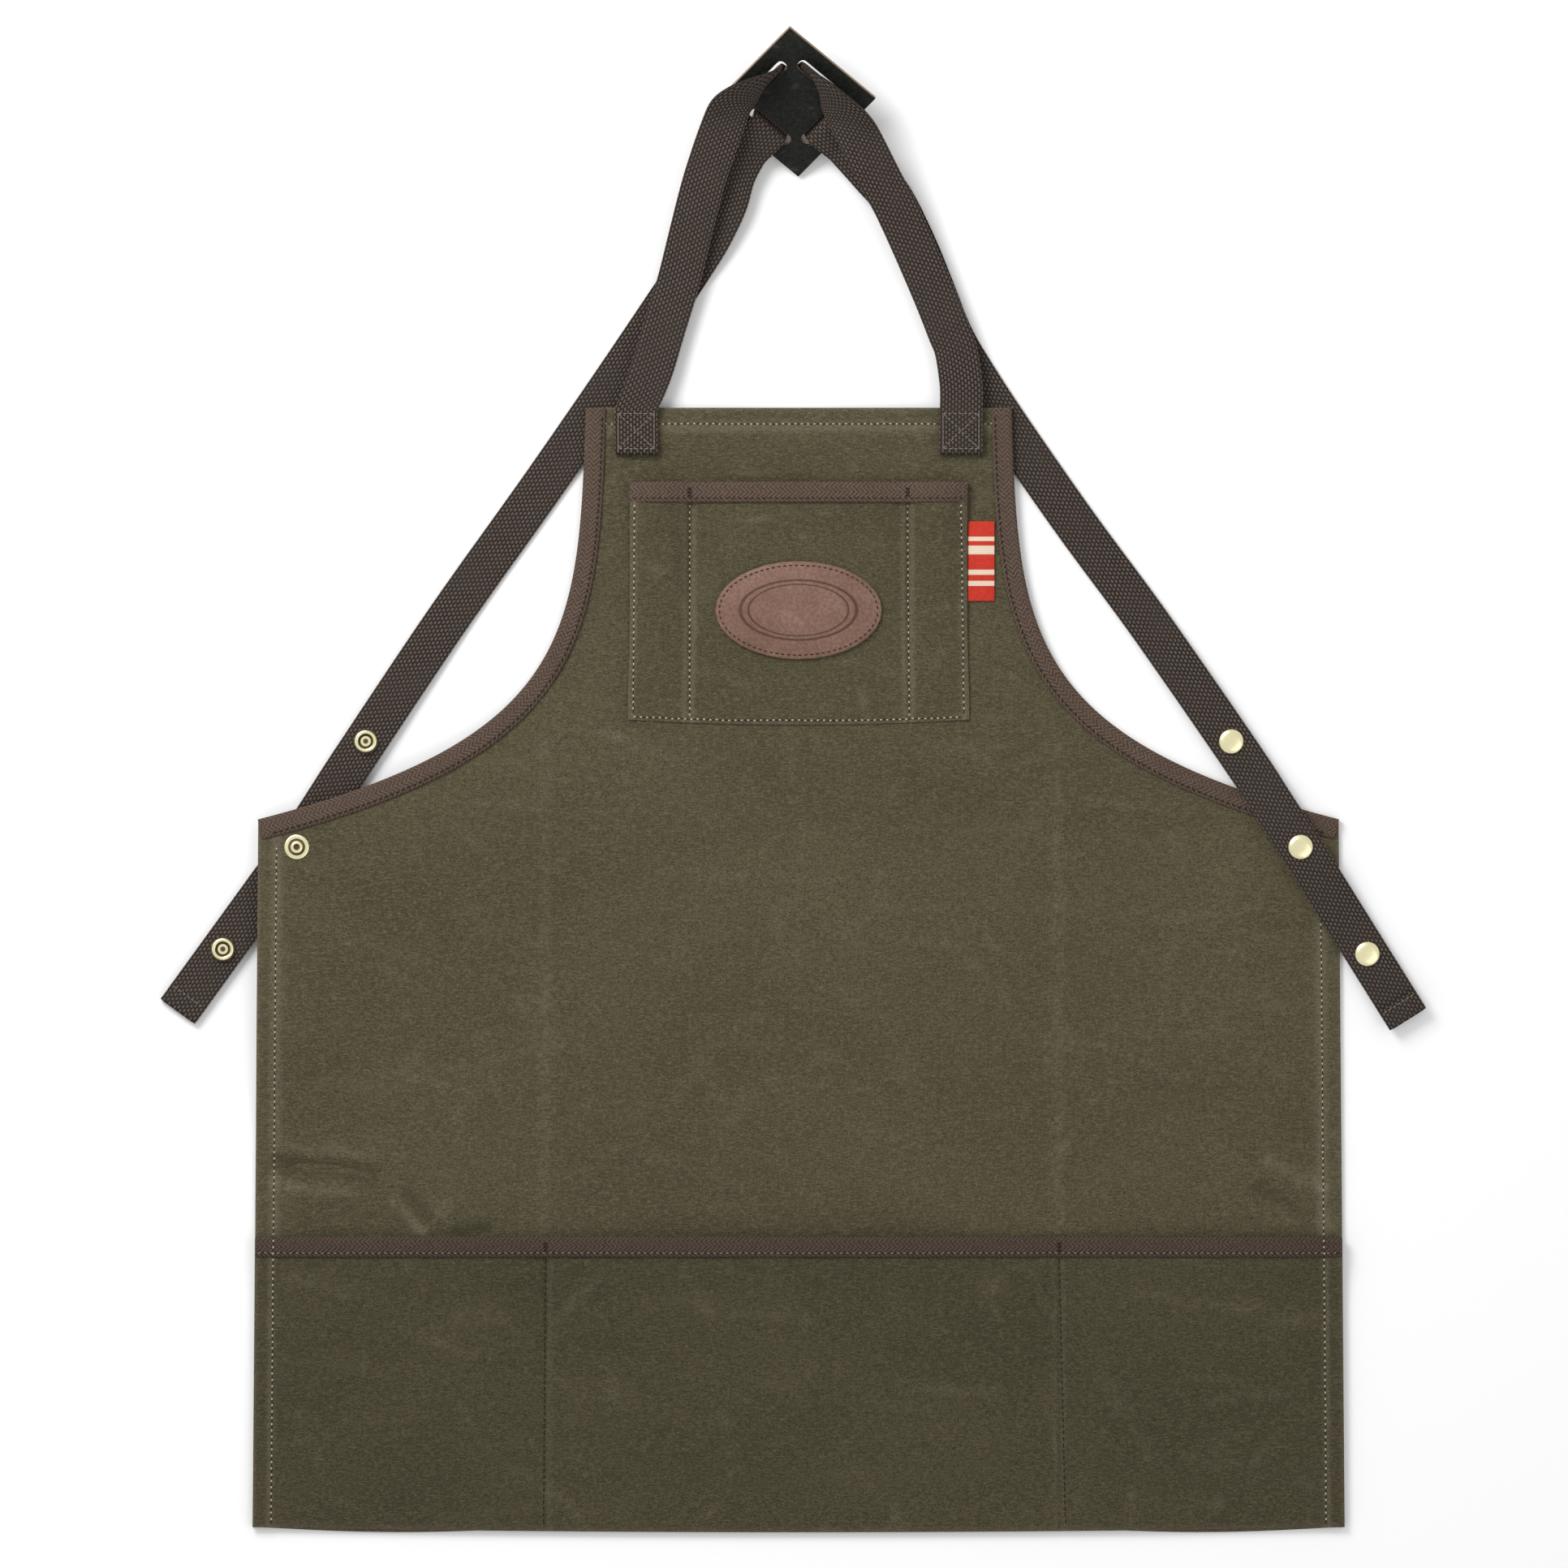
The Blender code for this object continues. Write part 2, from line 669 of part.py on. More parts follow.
def make_patch(pocket_front, leather):
    """Oval leather patch that follows the pocket, thinner at its rim."""
    centre = Vector((0.0, BIB_HEIGHT - BIB_POCKET_DROP - PATCH_DROP))
    bm = bmesh.new()
    bmesh.ops.create_circle(bm, cap_ends=True, segments=32, radius=1.0)
    for ring in (0.05, 0.20, 0.25, 0.25):
        inner = max(bm.faces, key=lambda face: len(face.verts))
        bmesh.ops.inset_individual(bm, faces=[inner], thickness=ring, use_even_offset=True)
    inner = max(bm.faces, key=lambda face: len(face.verts))
    bmesh.ops.poke(bm, faces=[inner])
    lower = [(vert, vert.co.copy()) for vert in bm.verts]
    raised = bmesh.ops.extrude_face_region(bm, geom=bm.faces[:])["geom"]
    upper = [(vert, vert.co.copy()) for vert in raised if isinstance(vert, bmesh.types.BMVert)]
    for group, wall in ((lower, 0.0), (upper, PATCH_THICKNESS)):
        for vert, unit in group:
            x = centre.x + unit.x * PATCH_LENGTH / 2
            y = centre.y + unit.y * PATCH_HEIGHT / 2
            rim = 0.75 if unit.length > 0.99 else 1.0
            vert.co = Vector((x, y, pocket_front(x, y) + PATCH_GAP + wall * rim))
    finish("leather_patch", bm, leather, smooth=True)


def make_label(shelters, woven):
    left = BIB_POCKET_WIDTH / 2 + GAP
    top = BIB_HEIGHT - BIB_POCKET_DROP - LABEL_DROP

    def place(wall):
        def point(column, row):
            x = left + LABEL_WIDTH * column / 3
            y = top - LABEL_LENGTH * row / 4
            return Vector((x, y, body_bottom(x, y, shelters) + CANVAS_THICKNESS + GAP + wall))
        return point

    slab("side_label", 4, 5, place(0.0), place(LABEL_THICKNESS), woven)


def cutter(name, bm, matrix):
    made = finish(name, bm, bpy.data.materials[0])
    made.matrix_world = matrix
    made.hide_render = True
    made.display_type = "WIRE"
    return made


def cut(target, tool):
    """Cut a hole with a hidden tool, by Blender's exact Boolean."""
    change = target.modifiers.new(tool.name, "BOOLEAN")
    change.operation = "DIFFERENCE"
    change.solver = "EXACT"
    change.object = tool


def round_cutter(name, radius, length, place):
    bm = bmesh.new()
    bmesh.ops.create_cone(bm, cap_ends=True, segments=16, radius1=radius, radius2=radius,
                          depth=length)
    return cutter(name, bm, Matrix.Translation(place))


def make_keeper(leather):
    bm = bmesh.new()
    bmesh.ops.create_cube(bm, size=1.0)
    bmesh.ops.scale(bm, vec=(KEEPER_SIDE, KEEPER_SIDE, KEEPER_THICKNESS), verts=bm.verts[:])
    plate_frame = keeper_frame() @ Matrix.Rotation(math.radians(45), 4, "Z")
    keeper = finish("leather_keeper", bm, leather)
    keeper.matrix_world = plate_frame
    for quarter in range(4):
        slot = bmesh.new()
        bmesh.ops.create_cube(slot, size=1.0)
        bmesh.ops.scale(slot, vec=(WEB_WIDTH + SLOT_EASE, SLOT_WIDTH, 4 * KEEPER_THICKNESS),
                        verts=slot.verts[:])
        upright = [edge for edge in slot.edges
                   if abs(edge.verts[0].co.z - edge.verts[1].co.z) > KEEPER_THICKNESS]
        bmesh.ops.bevel(slot, geom=upright, offset=SLOT_WIDTH * 0.40, segments=3, profile=0.5,
                        affect="EDGES")
        turn = Matrix.Rotation(math.radians(90 * quarter), 4, "Z")
        place = plate_frame @ turn @ Matrix.Translation((0, SLOT_OFFSET, 0))
        cut(keeper, cutter(f"slot_cutter_{quarter}", slot, place))


def turned(name, profile, place, turned_material):
    """A closed round piece spun from its profile of radius and height."""
    bm = bmesh.new()
    verts = [bm.verts.new((radius, 0.0, height)) for radius, height in profile]
    edges = [bm.edges.new(pair) for pair in zip(verts, verts[1:])]
    bmesh.ops.spin(bm, geom=verts + edges, cent=(0, 0, 0), axis=(0, 0, 1), angle=2 * math.pi,
                   steps=12, use_merge=True)
    bmesh.ops.remove_doubles(bm, verts=bm.verts[:], dist=1e-6)
    made = finish(name, bm, turned_material, smooth=True)
    made.matrix_world = Matrix.Translation(place)
    return made


def make_snap(name, place, cap_up, brass):
    """Domed cap and open socket on either side of the strap, joined through it."""
    face = WEB_THICKNESS / 2 + GAP
    profile = (
        (0.0, face + CAP_HEIGHT),
        (SNAP_RADIUS * 0.55, face + CAP_HEIGHT * 0.90),
        (SNAP_RADIUS * 0.88, face + CAP_HEIGHT * 0.60),
        (SNAP_RADIUS, face + CAP_HEIGHT * 0.20),
        (SNAP_RADIUS * 0.97, face),
        (SHANK_RADIUS, face),
        (SHANK_RADIUS, -face),
        (SNAP_RADIUS * 0.92, -face),
        (SNAP_RADIUS * 0.95, -face - SOCKET_HEIGHT * 0.35),
        (SNAP_RADIUS * 0.80, -face - SOCKET_HEIGHT),
        (SOCKET_BORE, -face - SOCKET_HEIGHT),
        (SOCKET_BORE, -face - STUD_FLANGE),
        (0.0, -face - STUD_FLANGE),
    )
    sign = 1.0 if cap_up else -1.0
    turned(name, [(radius, height * sign) for radius, height in profile], place, brass)


def make_stud(name, place, brass):
    """Snap stud riveted through the canvas; its place is on the underside of the cloth."""
    top = CANVAS_THICKNESS + GAP
    knob = top + STUD_FLANGE + STUD_KNOB
    profile = (
        (0.0, knob),
        (STUD_RADIUS * 0.80, knob),
        (STUD_RADIUS, knob - STUD_KNOB * 0.30),
        (STUD_RADIUS, knob - STUD_KNOB * 0.55),
        (STUD_RADIUS * 0.82, knob - STUD_KNOB * 0.80),
        (STUD_RADIUS * 0.82, top + STUD_FLANGE),
        (SNAP_RADIUS * 0.90, top + STUD_FLANGE),
        (SNAP_RADIUS, top),
        (SHANK_RADIUS, top),
        (SHANK_RADIUS, -GAP),
        (SNAP_RADIUS * 0.70, -GAP),
        (SNAP_RADIUS * 0.70, -GAP - STUD_FLANGE),
        (0.0, -GAP - STUD_FLANGE),
    )
    turned(name, profile, place, brass)


def make_strap(side, shelter_top, table, pass_table, centres, webbing):
    """One strap from its doubled end on the bib to the hemmed end of its tail."""
    x = side * ANCHOR_SPREAD
    upper = shelter_top(x, BIB_HEIGHT - ANCHOR_LENGTH / 2) + GAP * 2 + WEB_THICKNESS * 1.5
    sewn_y = BIB_HEIGHT - ANCHOR_LENGTH + FOLD_RADIUS + WEB_THICKNESS / 2
    level = Vector((1.0, 0.0, 0.0))
    sewn = [(Vector((x, y, upper)), level)
            for y in (sewn_y, sewn_y + 0.010, BIB_HEIGHT - 0.002)]
    below = keeper_pass(side, pass_table)
    rise = front_run(side, table, Vector((x, BIB_HEIGHT, upper)), below[0][0])
    upward = smooth_stations([sewn[-1]] + rise + [below[0]], 3)
    tail = with_widths(centres)
    leaving = below[-1][1]
    for index in range(LEVELLING):
        centre, width = tail[index]
        tail[index] = (centre, leaving.lerp(width, smooth_share(index / LEVELLING)))
    stations = sewn[:-1] + upward[:-1] + below[:-1] + tail
    stations = fold_back(stations, 0, ANCHOR_LENGTH - 0.006, upward=False)
    stations = fold_back(stations, len(stations) - 1, END_FOLD, upward=side < 0)
    name = "shoulder_strap_left" if side < 0 else "shoulder_strap_right"
    return ribbon(name, stations, webbing)


def main():
    clear_scene()
    canvas = material("waxed_canvas", (0.085, 0.072, 0.042), 0.82)
    tape = material("twill_tape", (0.095, 0.064, 0.048), 0.85)
    webbing = material("webbing", (0.062, 0.048, 0.040), 0.90)
    keeper_leather = material("keeper_leather", (0.013, 0.014, 0.011), 0.60)
    patch_leather = material("patch_leather", (0.190, 0.095, 0.065), 0.55)
    woven = material("label_weave", (0.60, 0.045, 0.025), 0.80)
    brass = material("brass", (0.88, 0.80, 0.50), 0.25, 1.0)

    routes = {}
    for side, back, below in ((-1, BACK_RUN_RIGHT, PASS_UPPER), (1, BACK_RUN_LEFT, PASS_LOWER)):
        start = keeper_pass(side, below)[-1][0]
        routes[side] = back_centres(-side, back, start)
    left_tail, right_tail = routes[1], routes[-1]
    left_tail = set_tail(-1, left_tail, (TAIL_LEFT_Z,) * 3)

    left_reach = stud_length(-1, left_tail)
    right_reach = stud_length(1, right_tail)
    tape_room = TAPE_GAP + TAPE_THICKNESS + GAP
    stud_room = GAP + SOCKET_HEIGHT + GAP + STUD_FLANGE + GAP
    shelters = shelter_points(left_tail, 0.20 * left_reach, 0.58 * left_reach, tape_room,
                              BIB_LIFT_FALL)
    shelters += shelter_points(right_tail, 0.20 * right_reach, 0.58 * right_reach, tape_room,
                               BIB_LIFT_FALL)
    shelters += shelter_points(left_tail, left_reach - 0.042, left_reach + 0.048, stud_room,
                               CORNER_LIFT_FALL)

    def top(x, y):
        return body_bottom(x, y, shelters) + CANVAS_THICKNESS

    right_stud = stud_point(1)
    right_stack = (top(*right_stud) + GAP + STUD_FLANGE + GAP + SOCKET_HEIGHT + GAP
                   + WEB_THICKNESS / 2)
    right_tail = set_tail(1, right_tail, (TAIL_RIGHT_Z, right_stack, TAIL_RIGHT_Z))

    body = make_body(shelters, canvas)
    make_lower_pocket(shelters, canvas, tape)
    pocket_front = make_bib_pocket(shelters, canvas, tape)
    make_patch(pocket_front, patch_leather)
    make_label(shelters, woven)
    make_keeper(keeper_leather)

    edge_right = []
    for share in ARMHOLE_SHARES:
        point = armhole(share)
        along = armhole(min(share + 0.01, 1.0)) - armhole(max(share - 0.01, 0.0))
        edge_right.append((point, Vector((along.y, -along.x)).normalized()))
    edge_left = [(Vector((-point.x, point.y)), Vector((-inward.x, inward.y)))
                 for point, inward in edge_right]
    for name, line in (("armhole_binding_left", edge_left), ("armhole_binding_right", edge_right)):
        make_binding(name, line, lambda x, y: body_bottom(x, y, shelters), CANVAS_THICKNESS, tape)

    strap_left = make_strap(-1, top, FRONT_RUN_LEFT, PASS_UPPER, right_tail, webbing)
    strap_right = make_strap(1, top, FRONT_RUN_RIGHT, PASS_LOWER, left_tail, webbing)
    for side, strap, tail in ((-1, strap_right, left_tail), (1, strap_left, right_tail)):
        word = "left" if side < 0 else "right"
        for level, place in zip(("upper", "middle", "lower"), snap_points(side, tail)):
            make_snap(f"snap_{word}_{level}", place, side > 0, brass)
            cut(strap, round_cutter(f"snap_hole_{word}_{level}", SHANK_RADIUS + HOLE_EASE,
                                    6 * WEB_THICKNESS, place))
        spot = stud_point(side)
        place = Vector((spot.x, spot.y, body_bottom(spot.x, spot.y, shelters)))
        make_stud(f"stud_{word}", place, brass)
        cut(body, round_cutter(f"stud_hole_{word}", SHANK_RADIUS + HOLE_EASE,
                               6 * CANVAS_THICKNESS, place))


main()
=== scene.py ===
"""Visual pieces for the waxed canvas work apron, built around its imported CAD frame.

It is laid out as an add-on, with a panel in the sidebar, and runs as a script. Metres, +Z up: X
runs across the apron, +Y from the hem towards the straps, and the cloth lies on z = 0.
"""

import math

import bmesh
import bpy
from bpy.props import FloatProperty, FloatVectorProperty, IntProperty, PointerProperty
from bpy.types import Operator, Panel, PropertyGroup
from mathutils import Matrix, Vector, noise
from mathutils.bvhtree import BVHTree


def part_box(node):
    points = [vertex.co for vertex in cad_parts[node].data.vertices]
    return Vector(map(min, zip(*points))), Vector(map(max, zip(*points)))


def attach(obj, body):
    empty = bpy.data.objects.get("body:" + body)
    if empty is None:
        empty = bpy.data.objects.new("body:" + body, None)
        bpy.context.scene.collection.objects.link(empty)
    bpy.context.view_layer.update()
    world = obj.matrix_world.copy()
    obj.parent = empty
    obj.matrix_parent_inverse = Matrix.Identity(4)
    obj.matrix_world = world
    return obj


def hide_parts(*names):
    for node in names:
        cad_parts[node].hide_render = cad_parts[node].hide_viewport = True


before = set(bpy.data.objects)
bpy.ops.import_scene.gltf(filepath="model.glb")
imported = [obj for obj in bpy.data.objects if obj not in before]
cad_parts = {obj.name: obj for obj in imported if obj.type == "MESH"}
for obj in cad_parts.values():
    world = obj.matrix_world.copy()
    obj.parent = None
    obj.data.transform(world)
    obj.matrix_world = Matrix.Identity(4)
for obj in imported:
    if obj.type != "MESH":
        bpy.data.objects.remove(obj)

bl_info = {
    "name": "Work apron visual",
    "version": (1, 0, 0),
    "blender": (4, 5, 0),
    "location": "3D Viewport > Sidebar > Apron",
    "description": "Cloth, straps, leather, brass and stage of the work apron",
    "category": "Object",
}

# Body outline, as the CAD has it
HIP_HALF = 0.316
HEM_FLARE = 0.0035
BIB_HALF = 0.1235
BIB_HEIGHT = 0.242
SKIRT_LENGTH = 0.413
TAPE_WIDTH = 0.0120
ARMHOLE_FIRST = (0.1270, 0.1101)
ARMHOLE_SECOND = (0.1300, 0.0479)
CANVAS_THICKNESS = 0.0010
SIDE_HEM = 0.0108
TOP_HEM = 0.0095
HEM_BELLY = 0.0030

# Pockets
POCKET_MOUTH = -0.2440
POCKET_SEAMS = (-0.1480, 0.1525)
BIB_POCKET_HALF = 0.09875
BIB_POCKET_MOUTH = 0.1975
BIB_POCKET_BASE = 0.0595
PEN_SEAMS = (-0.06375, 0.06375)
PATCH_STITCH = (0.0463, 0.0263)

# Tapes
TAPE_THICKNESS = 0.0009
TAPE_ROLL = 0.0007
TAPE_STITCH_DROP = 0.0085
TACK_DROP = 0.0055
TACK_HALF = 0.0035

# Straps
WEB_HALF = 0.0125
WEB_THICKNESS = 0.0022
STRAP_GAP = 0.0003
STRAP_FLOOR = 0.0012
FOLD_RADIUS = (WEB_THICKNESS + STRAP_GAP) / 2
ANCHOR_SPREAD = 0.0950
ANCHOR_LENGTH = 0.0275
SLOT_OFFSET = 0.0210
KEEPER_SIDE = 0.0675
KEEPER_THICKNESS = 0.0030
KEEPER_TILT = math.radians(26.0)
KEEPER_TURN = math.radians(3.0)
KEEPER_CENTRE = Vector((
    -0.0027,
    0.4206,
    KEEPER_SIDE / math.sqrt(2) * math.sin(KEEPER_TILT) + KEEPER_THICKNESS / 2,
))

# Snaps
SNAP_RADIUS = 0.0073
SNAP_PITCH = 0.0738
CAP_HEIGHT = 0.0022
SOCKET_HEIGHT = 0.0034
SOCKET_BORE = 0.0044
STUD_RADIUS = 0.0036
STUD_FLANGE = 0.0008
STUD_KNOB = 0.0022
STUD_INSET = 0.0225
STUD_DROP = 0.0150
TAIL_END = 0.0430
END_FOLD = 0.0110
TAIL_SWING = {-1: math.radians(-3.0), 1: math.radians(-1.0)}
TAIL_LEFT_Z = CAP_HEIGHT + STRAP_GAP + WEB_THICKNESS / 2
TAIL_RIGHT_Z = SOCKET_HEIGHT + STRAP_GAP + WEB_THICKNESS / 2
LEVELLING = 9

# Stage: name, place, size and power of each light, then the floor and the camera
LIGHTS = (
    ("key_light", (-0.9, 1.2, 1.3), 0.9, 28.0),
    ("fill_light", (1.1, -0.7, 1.6), 1.6, 5.0),
)
LIGHT_AIM = (0.0, 0.02, 0.0)
WORLD_STRENGTH = 0.72
FLOOR_HALF = 3.0
FLOOR_DROP = 0.0004
SENSOR_WIDTH = 36.0
LENS = 480.0
VIEW_SPAN = 0.9177
VIEW_CENTRE = (-0.00855, 0.02185)

# Across, up, rise, turn, dip
FRONT_RUN_LEFT = (
    (0.124, 0.123, 0.00, -18, 0),
    (0.210, 0.240, -0.03, -17, 0),
    (0.322, 0.389, -0.02, -15, 0),
    (0.400, 0.515, 0.10, -14, 0),
    (0.502, 0.677, 0.31, -16, 0),
    (0.590, 0.790, 0.50, -16, -2),
    (0.669, 0.878, 0.71, -15, -8),
    (0.720, 0.924, 0.96, -21, -24),
    (0.795, 0.953, 1.16, -36, -44),
    (0.876, 0.972, 1.28, -67, -57),
    (0.960, 0.985, 1.24, -112, -48),
)
FRONT_RUN_RIGHT = (
    (0.000, 0.068, 0.00, 4, 0),
    (0.035, 0.174, -0.02, 16, 0),
    (0.079, 0.226, -0.02, 21, 0),
    (0.188, 0.347, 0.00, 23, 0),
    (0.351, 0.512, 0.13, 24, 0),
    (0.469, 0.623, 0.29, 27, 0),
    (0.556, 0.692, 0.40, 27, 0),
    (0.698, 0.815, 0.64, 20, 4),
    (0.783, 0.878, 0.88, 18, 25),
    (0.871, 0.922, 1.13, 34, 47),
    (0.948, 0.958, 1.28, 68, 58),
    (1.000, 0.982, 1.24, 112, 48),
)
# Along, aside, height
BACK_RUN_LEFT = (
    (0.030, -0.0020, 0.90),
    (0.070, -0.0125, 0.66),
    (0.115, -0.0180, 0.38),
    (0.155, -0.0185, 0.18),
    (0.210, -0.0180, 0.03),
    (0.340, -0.0155, 0.0),
    (0.485, -0.0110, 0.0),
    (0.670, -0.0030, 0.0),
)
BACK_RUN_RIGHT = (
    (0.047, 0.0080, 0.88),
    (0.086, 0.0130, 0.60),
    (0.150, 0.0055, 0.22),
    (0.205, -0.0050, 0.04),
    (0.260, -0.0160, 0.0),
    (0.310, -0.0190, 0.0),
    (0.390, -0.0190, 0.0),
    (0.530, -0.0145, 0.0),
    (0.675, -0.0060, 0.0),
)
# Along, height in strap thicknesses
PASS_UPPER = (
    (-1.00, 2.20), (-1.00, 0.90), (-1.00, -0.27), (-0.93, -1.32), (-0.74, -1.50), (0.0, -1.50),
    (0.74, -1.50), (0.93, -1.32), (1.00, -0.27), (1.03, 0.90), (1.15, 1.50), (1.40, 1.55),
    (1.64, 1.55), (1.88, 1.45),
)
PASS_LOWER = (
    (-1.00, 2.20), (-1.00, 0.90), (-1.00, -0.45), (-0.95, -1.73), (-0.74, -2.68), (0.0, -2.77),
    (0.74, -2.68), (0.95, -1.73), (1.00, -0.45), (1.03, 0.90), (1.15, 1.50), (1.40, 1.55),
    (1.64, 1.55), (1.88, 1.45),
)


class ApronSettings(PropertyGroup):
    canvas_colour: FloatVectorProperty(
        name="Canvas", description="Base colour of the waxed canvas", subtype="COLOR", size=3,
        min=0.0, max=1.0, default=(0.074, 0.063, 0.035))
    pocket_colour: FloatVectorProperty(
        name="Pocket canvas", description="Base colour of the pockets' canvas", subtype="COLOR",
        size=3, min=0.0, max=1.0, default=(0.056, 0.048, 0.026))
    tape_colour: FloatVectorProperty(
        name="Tape", description="Base colour of the herringbone tape", subtype="COLOR", size=3,
        min=0.0, max=1.0, default=(0.088, 0.060, 0.045))
    web_colour: FloatVectorProperty(
        name="Webbing", description="Base colour of the strap webbing", subtype="COLOR", size=3,
        min=0.0, max=1.0, default=(0.058, 0.045, 0.037))
    brass_colour: FloatVectorProperty(
        name="Brass", description="Colour of the snaps", subtype="COLOR", size=3, min=0.0,
        max=1.0, default=(0.99, 0.92, 0.58))
    cell: FloatProperty(
        name="Cloth cell", description="Edge length of the cloth's mesh cells", unit="LENGTH",
        min=0.002, max=0.02, default=0.0032)
    crease_height: FloatProperty(
        name="Crease height", description="Height of the fine creases in the canvas",
        unit="LENGTH", min=0.0, max=0.002, default=0.0007)
    stitch_length: FloatProperty(
        name="Stitch", description="Length of one stitch", unit="LENGTH", min=0.001, max=0.01,
        default=0.0026)
    stitch_gap: FloatProperty(
        name="Stitch gap", description="Space between two stitches", unit="LENGTH", min=0.0003,
        max=0.01, default=0.0011)
    web_ribs: IntProperty(
        name="Web cells", description="Mesh cells across the webbing", min=2, max=24, default=10)


def settings():
    return bpy.context.scene.apron_settings


# ---------------------------------------------------------------------------------- shared tools

def smooth_share(value):
    value = min(max(value, 0.0), 1.0)
    return value * value * (3.0 - 2.0 * value)


def link_mesh(name, bm, surface, replaces=(), angle=40.0):
    """Finish a bmesh as a shown piece that rides on the apron."""
    bmesh.ops.recalc_face_normals(bm, faces=bm.faces[:])
    if bm.calc_volume(signed=True) < 0.0:
        bmesh.ops.reverse_faces(bm, faces=bm.faces[:])
    mesh = bpy.data.meshes.new(name)
    bm.to_mesh(mesh)
    bm.free()
    mesh.materials.append(surface)
    mesh.shade_smooth()
    mesh.set_sharp_from_angle(angle=math.radians(angle))
    made = bpy.data.objects.new(name, mesh)
    bpy.context.collection.objects.link(made)
    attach(made, "root")
    if replaces:
        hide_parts(*replaces)
    return made


def tree_of(item):
    mesh = item.data
    return BVHTree.FromPolygons([vert.co.copy() for vert in mesh.vertices],
                                [tuple(face.vertices) for face in mesh.polygons])


def node_tree(name):
    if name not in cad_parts:
        raise RuntimeError(f"the frame has no node {name}")
    return tree_of(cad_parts[name])


def top_of(tree, x, y, fallback=0.0):
    hit = tree.ray_cast(Vector((x, y, 0.3)), Vector((0, 0, -1)))[0]
    return fallback if hit is None else hit.z


def bottom_of(tree, x, y, fallback=0.0):
    hit = tree.ray_cast(Vector((x, y, -0.1)), Vector((0, 0, 1)))[0]
    return fallback if hit is None else hit.z


def relaxed(field, passes, pinned_columns=()):
    """Even out a field of heights, leaving its rim and the pinned lines as they are."""
    columns, rows = len(field), len(field[0])
    for _ in range(passes):
        before = [line[:] for line in field]
        for i in range(1, columns - 1):
            if i in pinned_columns:
                continue
            for j in range(1, rows - 1):
                around = (before[i - 1][j] + before[i + 1][j] + before[i][j - 1]
                          + before[i][j + 1])
                field[i][j] = before[i][j] * 0.4 + around * 0.15
    return field


def spread(start, end, step):
    count = max(int(round(abs(end - start) / step)), 1)
    return [start + (end - start) * index / count for index in range(count)]


def ramp_list(*marks):
    """Values from mark to mark; each mark is (value, step up to the next one)."""
    values = []
    for (start, step), (end, _) in zip(marks, marks[1:]):
        values += spread(start, end, step)
    values.append(marks[-1][0])
    return values


def slab(columns, rows, low, high, paint=None):
    """Closed sheet of columns by rows points, with an optional value of wear and painted fold
    shade on each top point.
    """
    bm = bmesh.new()
    bmesh.ops.create_grid(bm, x_segments=columns - 1, y_segments=rows - 1, size=0.5)
    # The wear layer also holds painted fold shade as negative values.
    wear = bm.verts.layers.float.new("wear")

    def cell(vert):
        return (round((vert.co.x + 0.5) * (columns - 1)), round((vert.co.y + 0.5) * (rows - 1)))

    lower = [(vert, cell(vert)) for vert in bm.verts]
    raised = bmesh.ops.extrude_face_region(bm, geom=bm.faces[:])["geom"]
    upper = [(vert, cell(vert)) for vert in raised if isinstance(vert, bmesh.types.BMVert)]
    for vert, place in lower:
        vert.co = low(*place)
    for vert, place in upper:
        vert.co = high(*place)
        if paint:
            vert[wear] = paint(*place)
    return bm


def skin_rings(bm, rings, lengths, measure):
    """Join the rings with faces, whose weave coordinates run along and around the piece."""
    grain = bm.loops.layers.uv.new("weave")
    count = len(rings[0])
    for index in range(len(rings) - 1):
        for step in range(count):
            after = (step + 1) % count
            face = bm.faces.new((rings[index][step], rings[index][after],
                                 rings[index + 1][after], rings[index + 1][step]))
            values = ((index, step), (index, step + 1), (index + 1, step + 1), (index + 1, step))
            for loop, (along, around) in zip(face.loops, values):
                loop[grain].uv = (lengths[along], measure[around])


# -------------------------------------------------------------------------------------- outline

def armhole(share):
    rest = 1.0 - share
    x = (rest ** 3 * BIB_HALF + 3 * rest ** 2 * share * ARMHOLE_FIRST[0]
         + 3 * rest * share ** 2 * ARMHOLE_SECOND[0] + share ** 3 * HIP_HALF)
    y = (rest ** 3 * BIB_HEIGHT + 3 * rest ** 2 * share * ARMHOLE_FIRST[1]
         + 3 * rest * share ** 2 * ARMHOLE_SECOND[1])
    return Vector((x, y))


def armhole_edge(share):
    """Point and inward direction on the right armhole's edge."""
    along = armhole(min(share + 0.004, 1.0)) - armhole(max(share - 0.004, 0.0))
    inward = Vector((along.y, -along.x)).normalized()
    return armhole(share), -inward if inward.x > 0 else inward


def half_width(y):
    if y <= 0.0:
        return HIP_HALF + HEM_FLARE * -y / SKIRT_LENGTH
    if y >= BIB_HEIGHT:
        return BIB_HALF
    low, high = 0.0, 1.0
    for _ in range(30):
        middle = (low + high) / 2
        if armhole(middle).y > y:
            low = middle
        else:
            high = middle
    return armhole(low).x
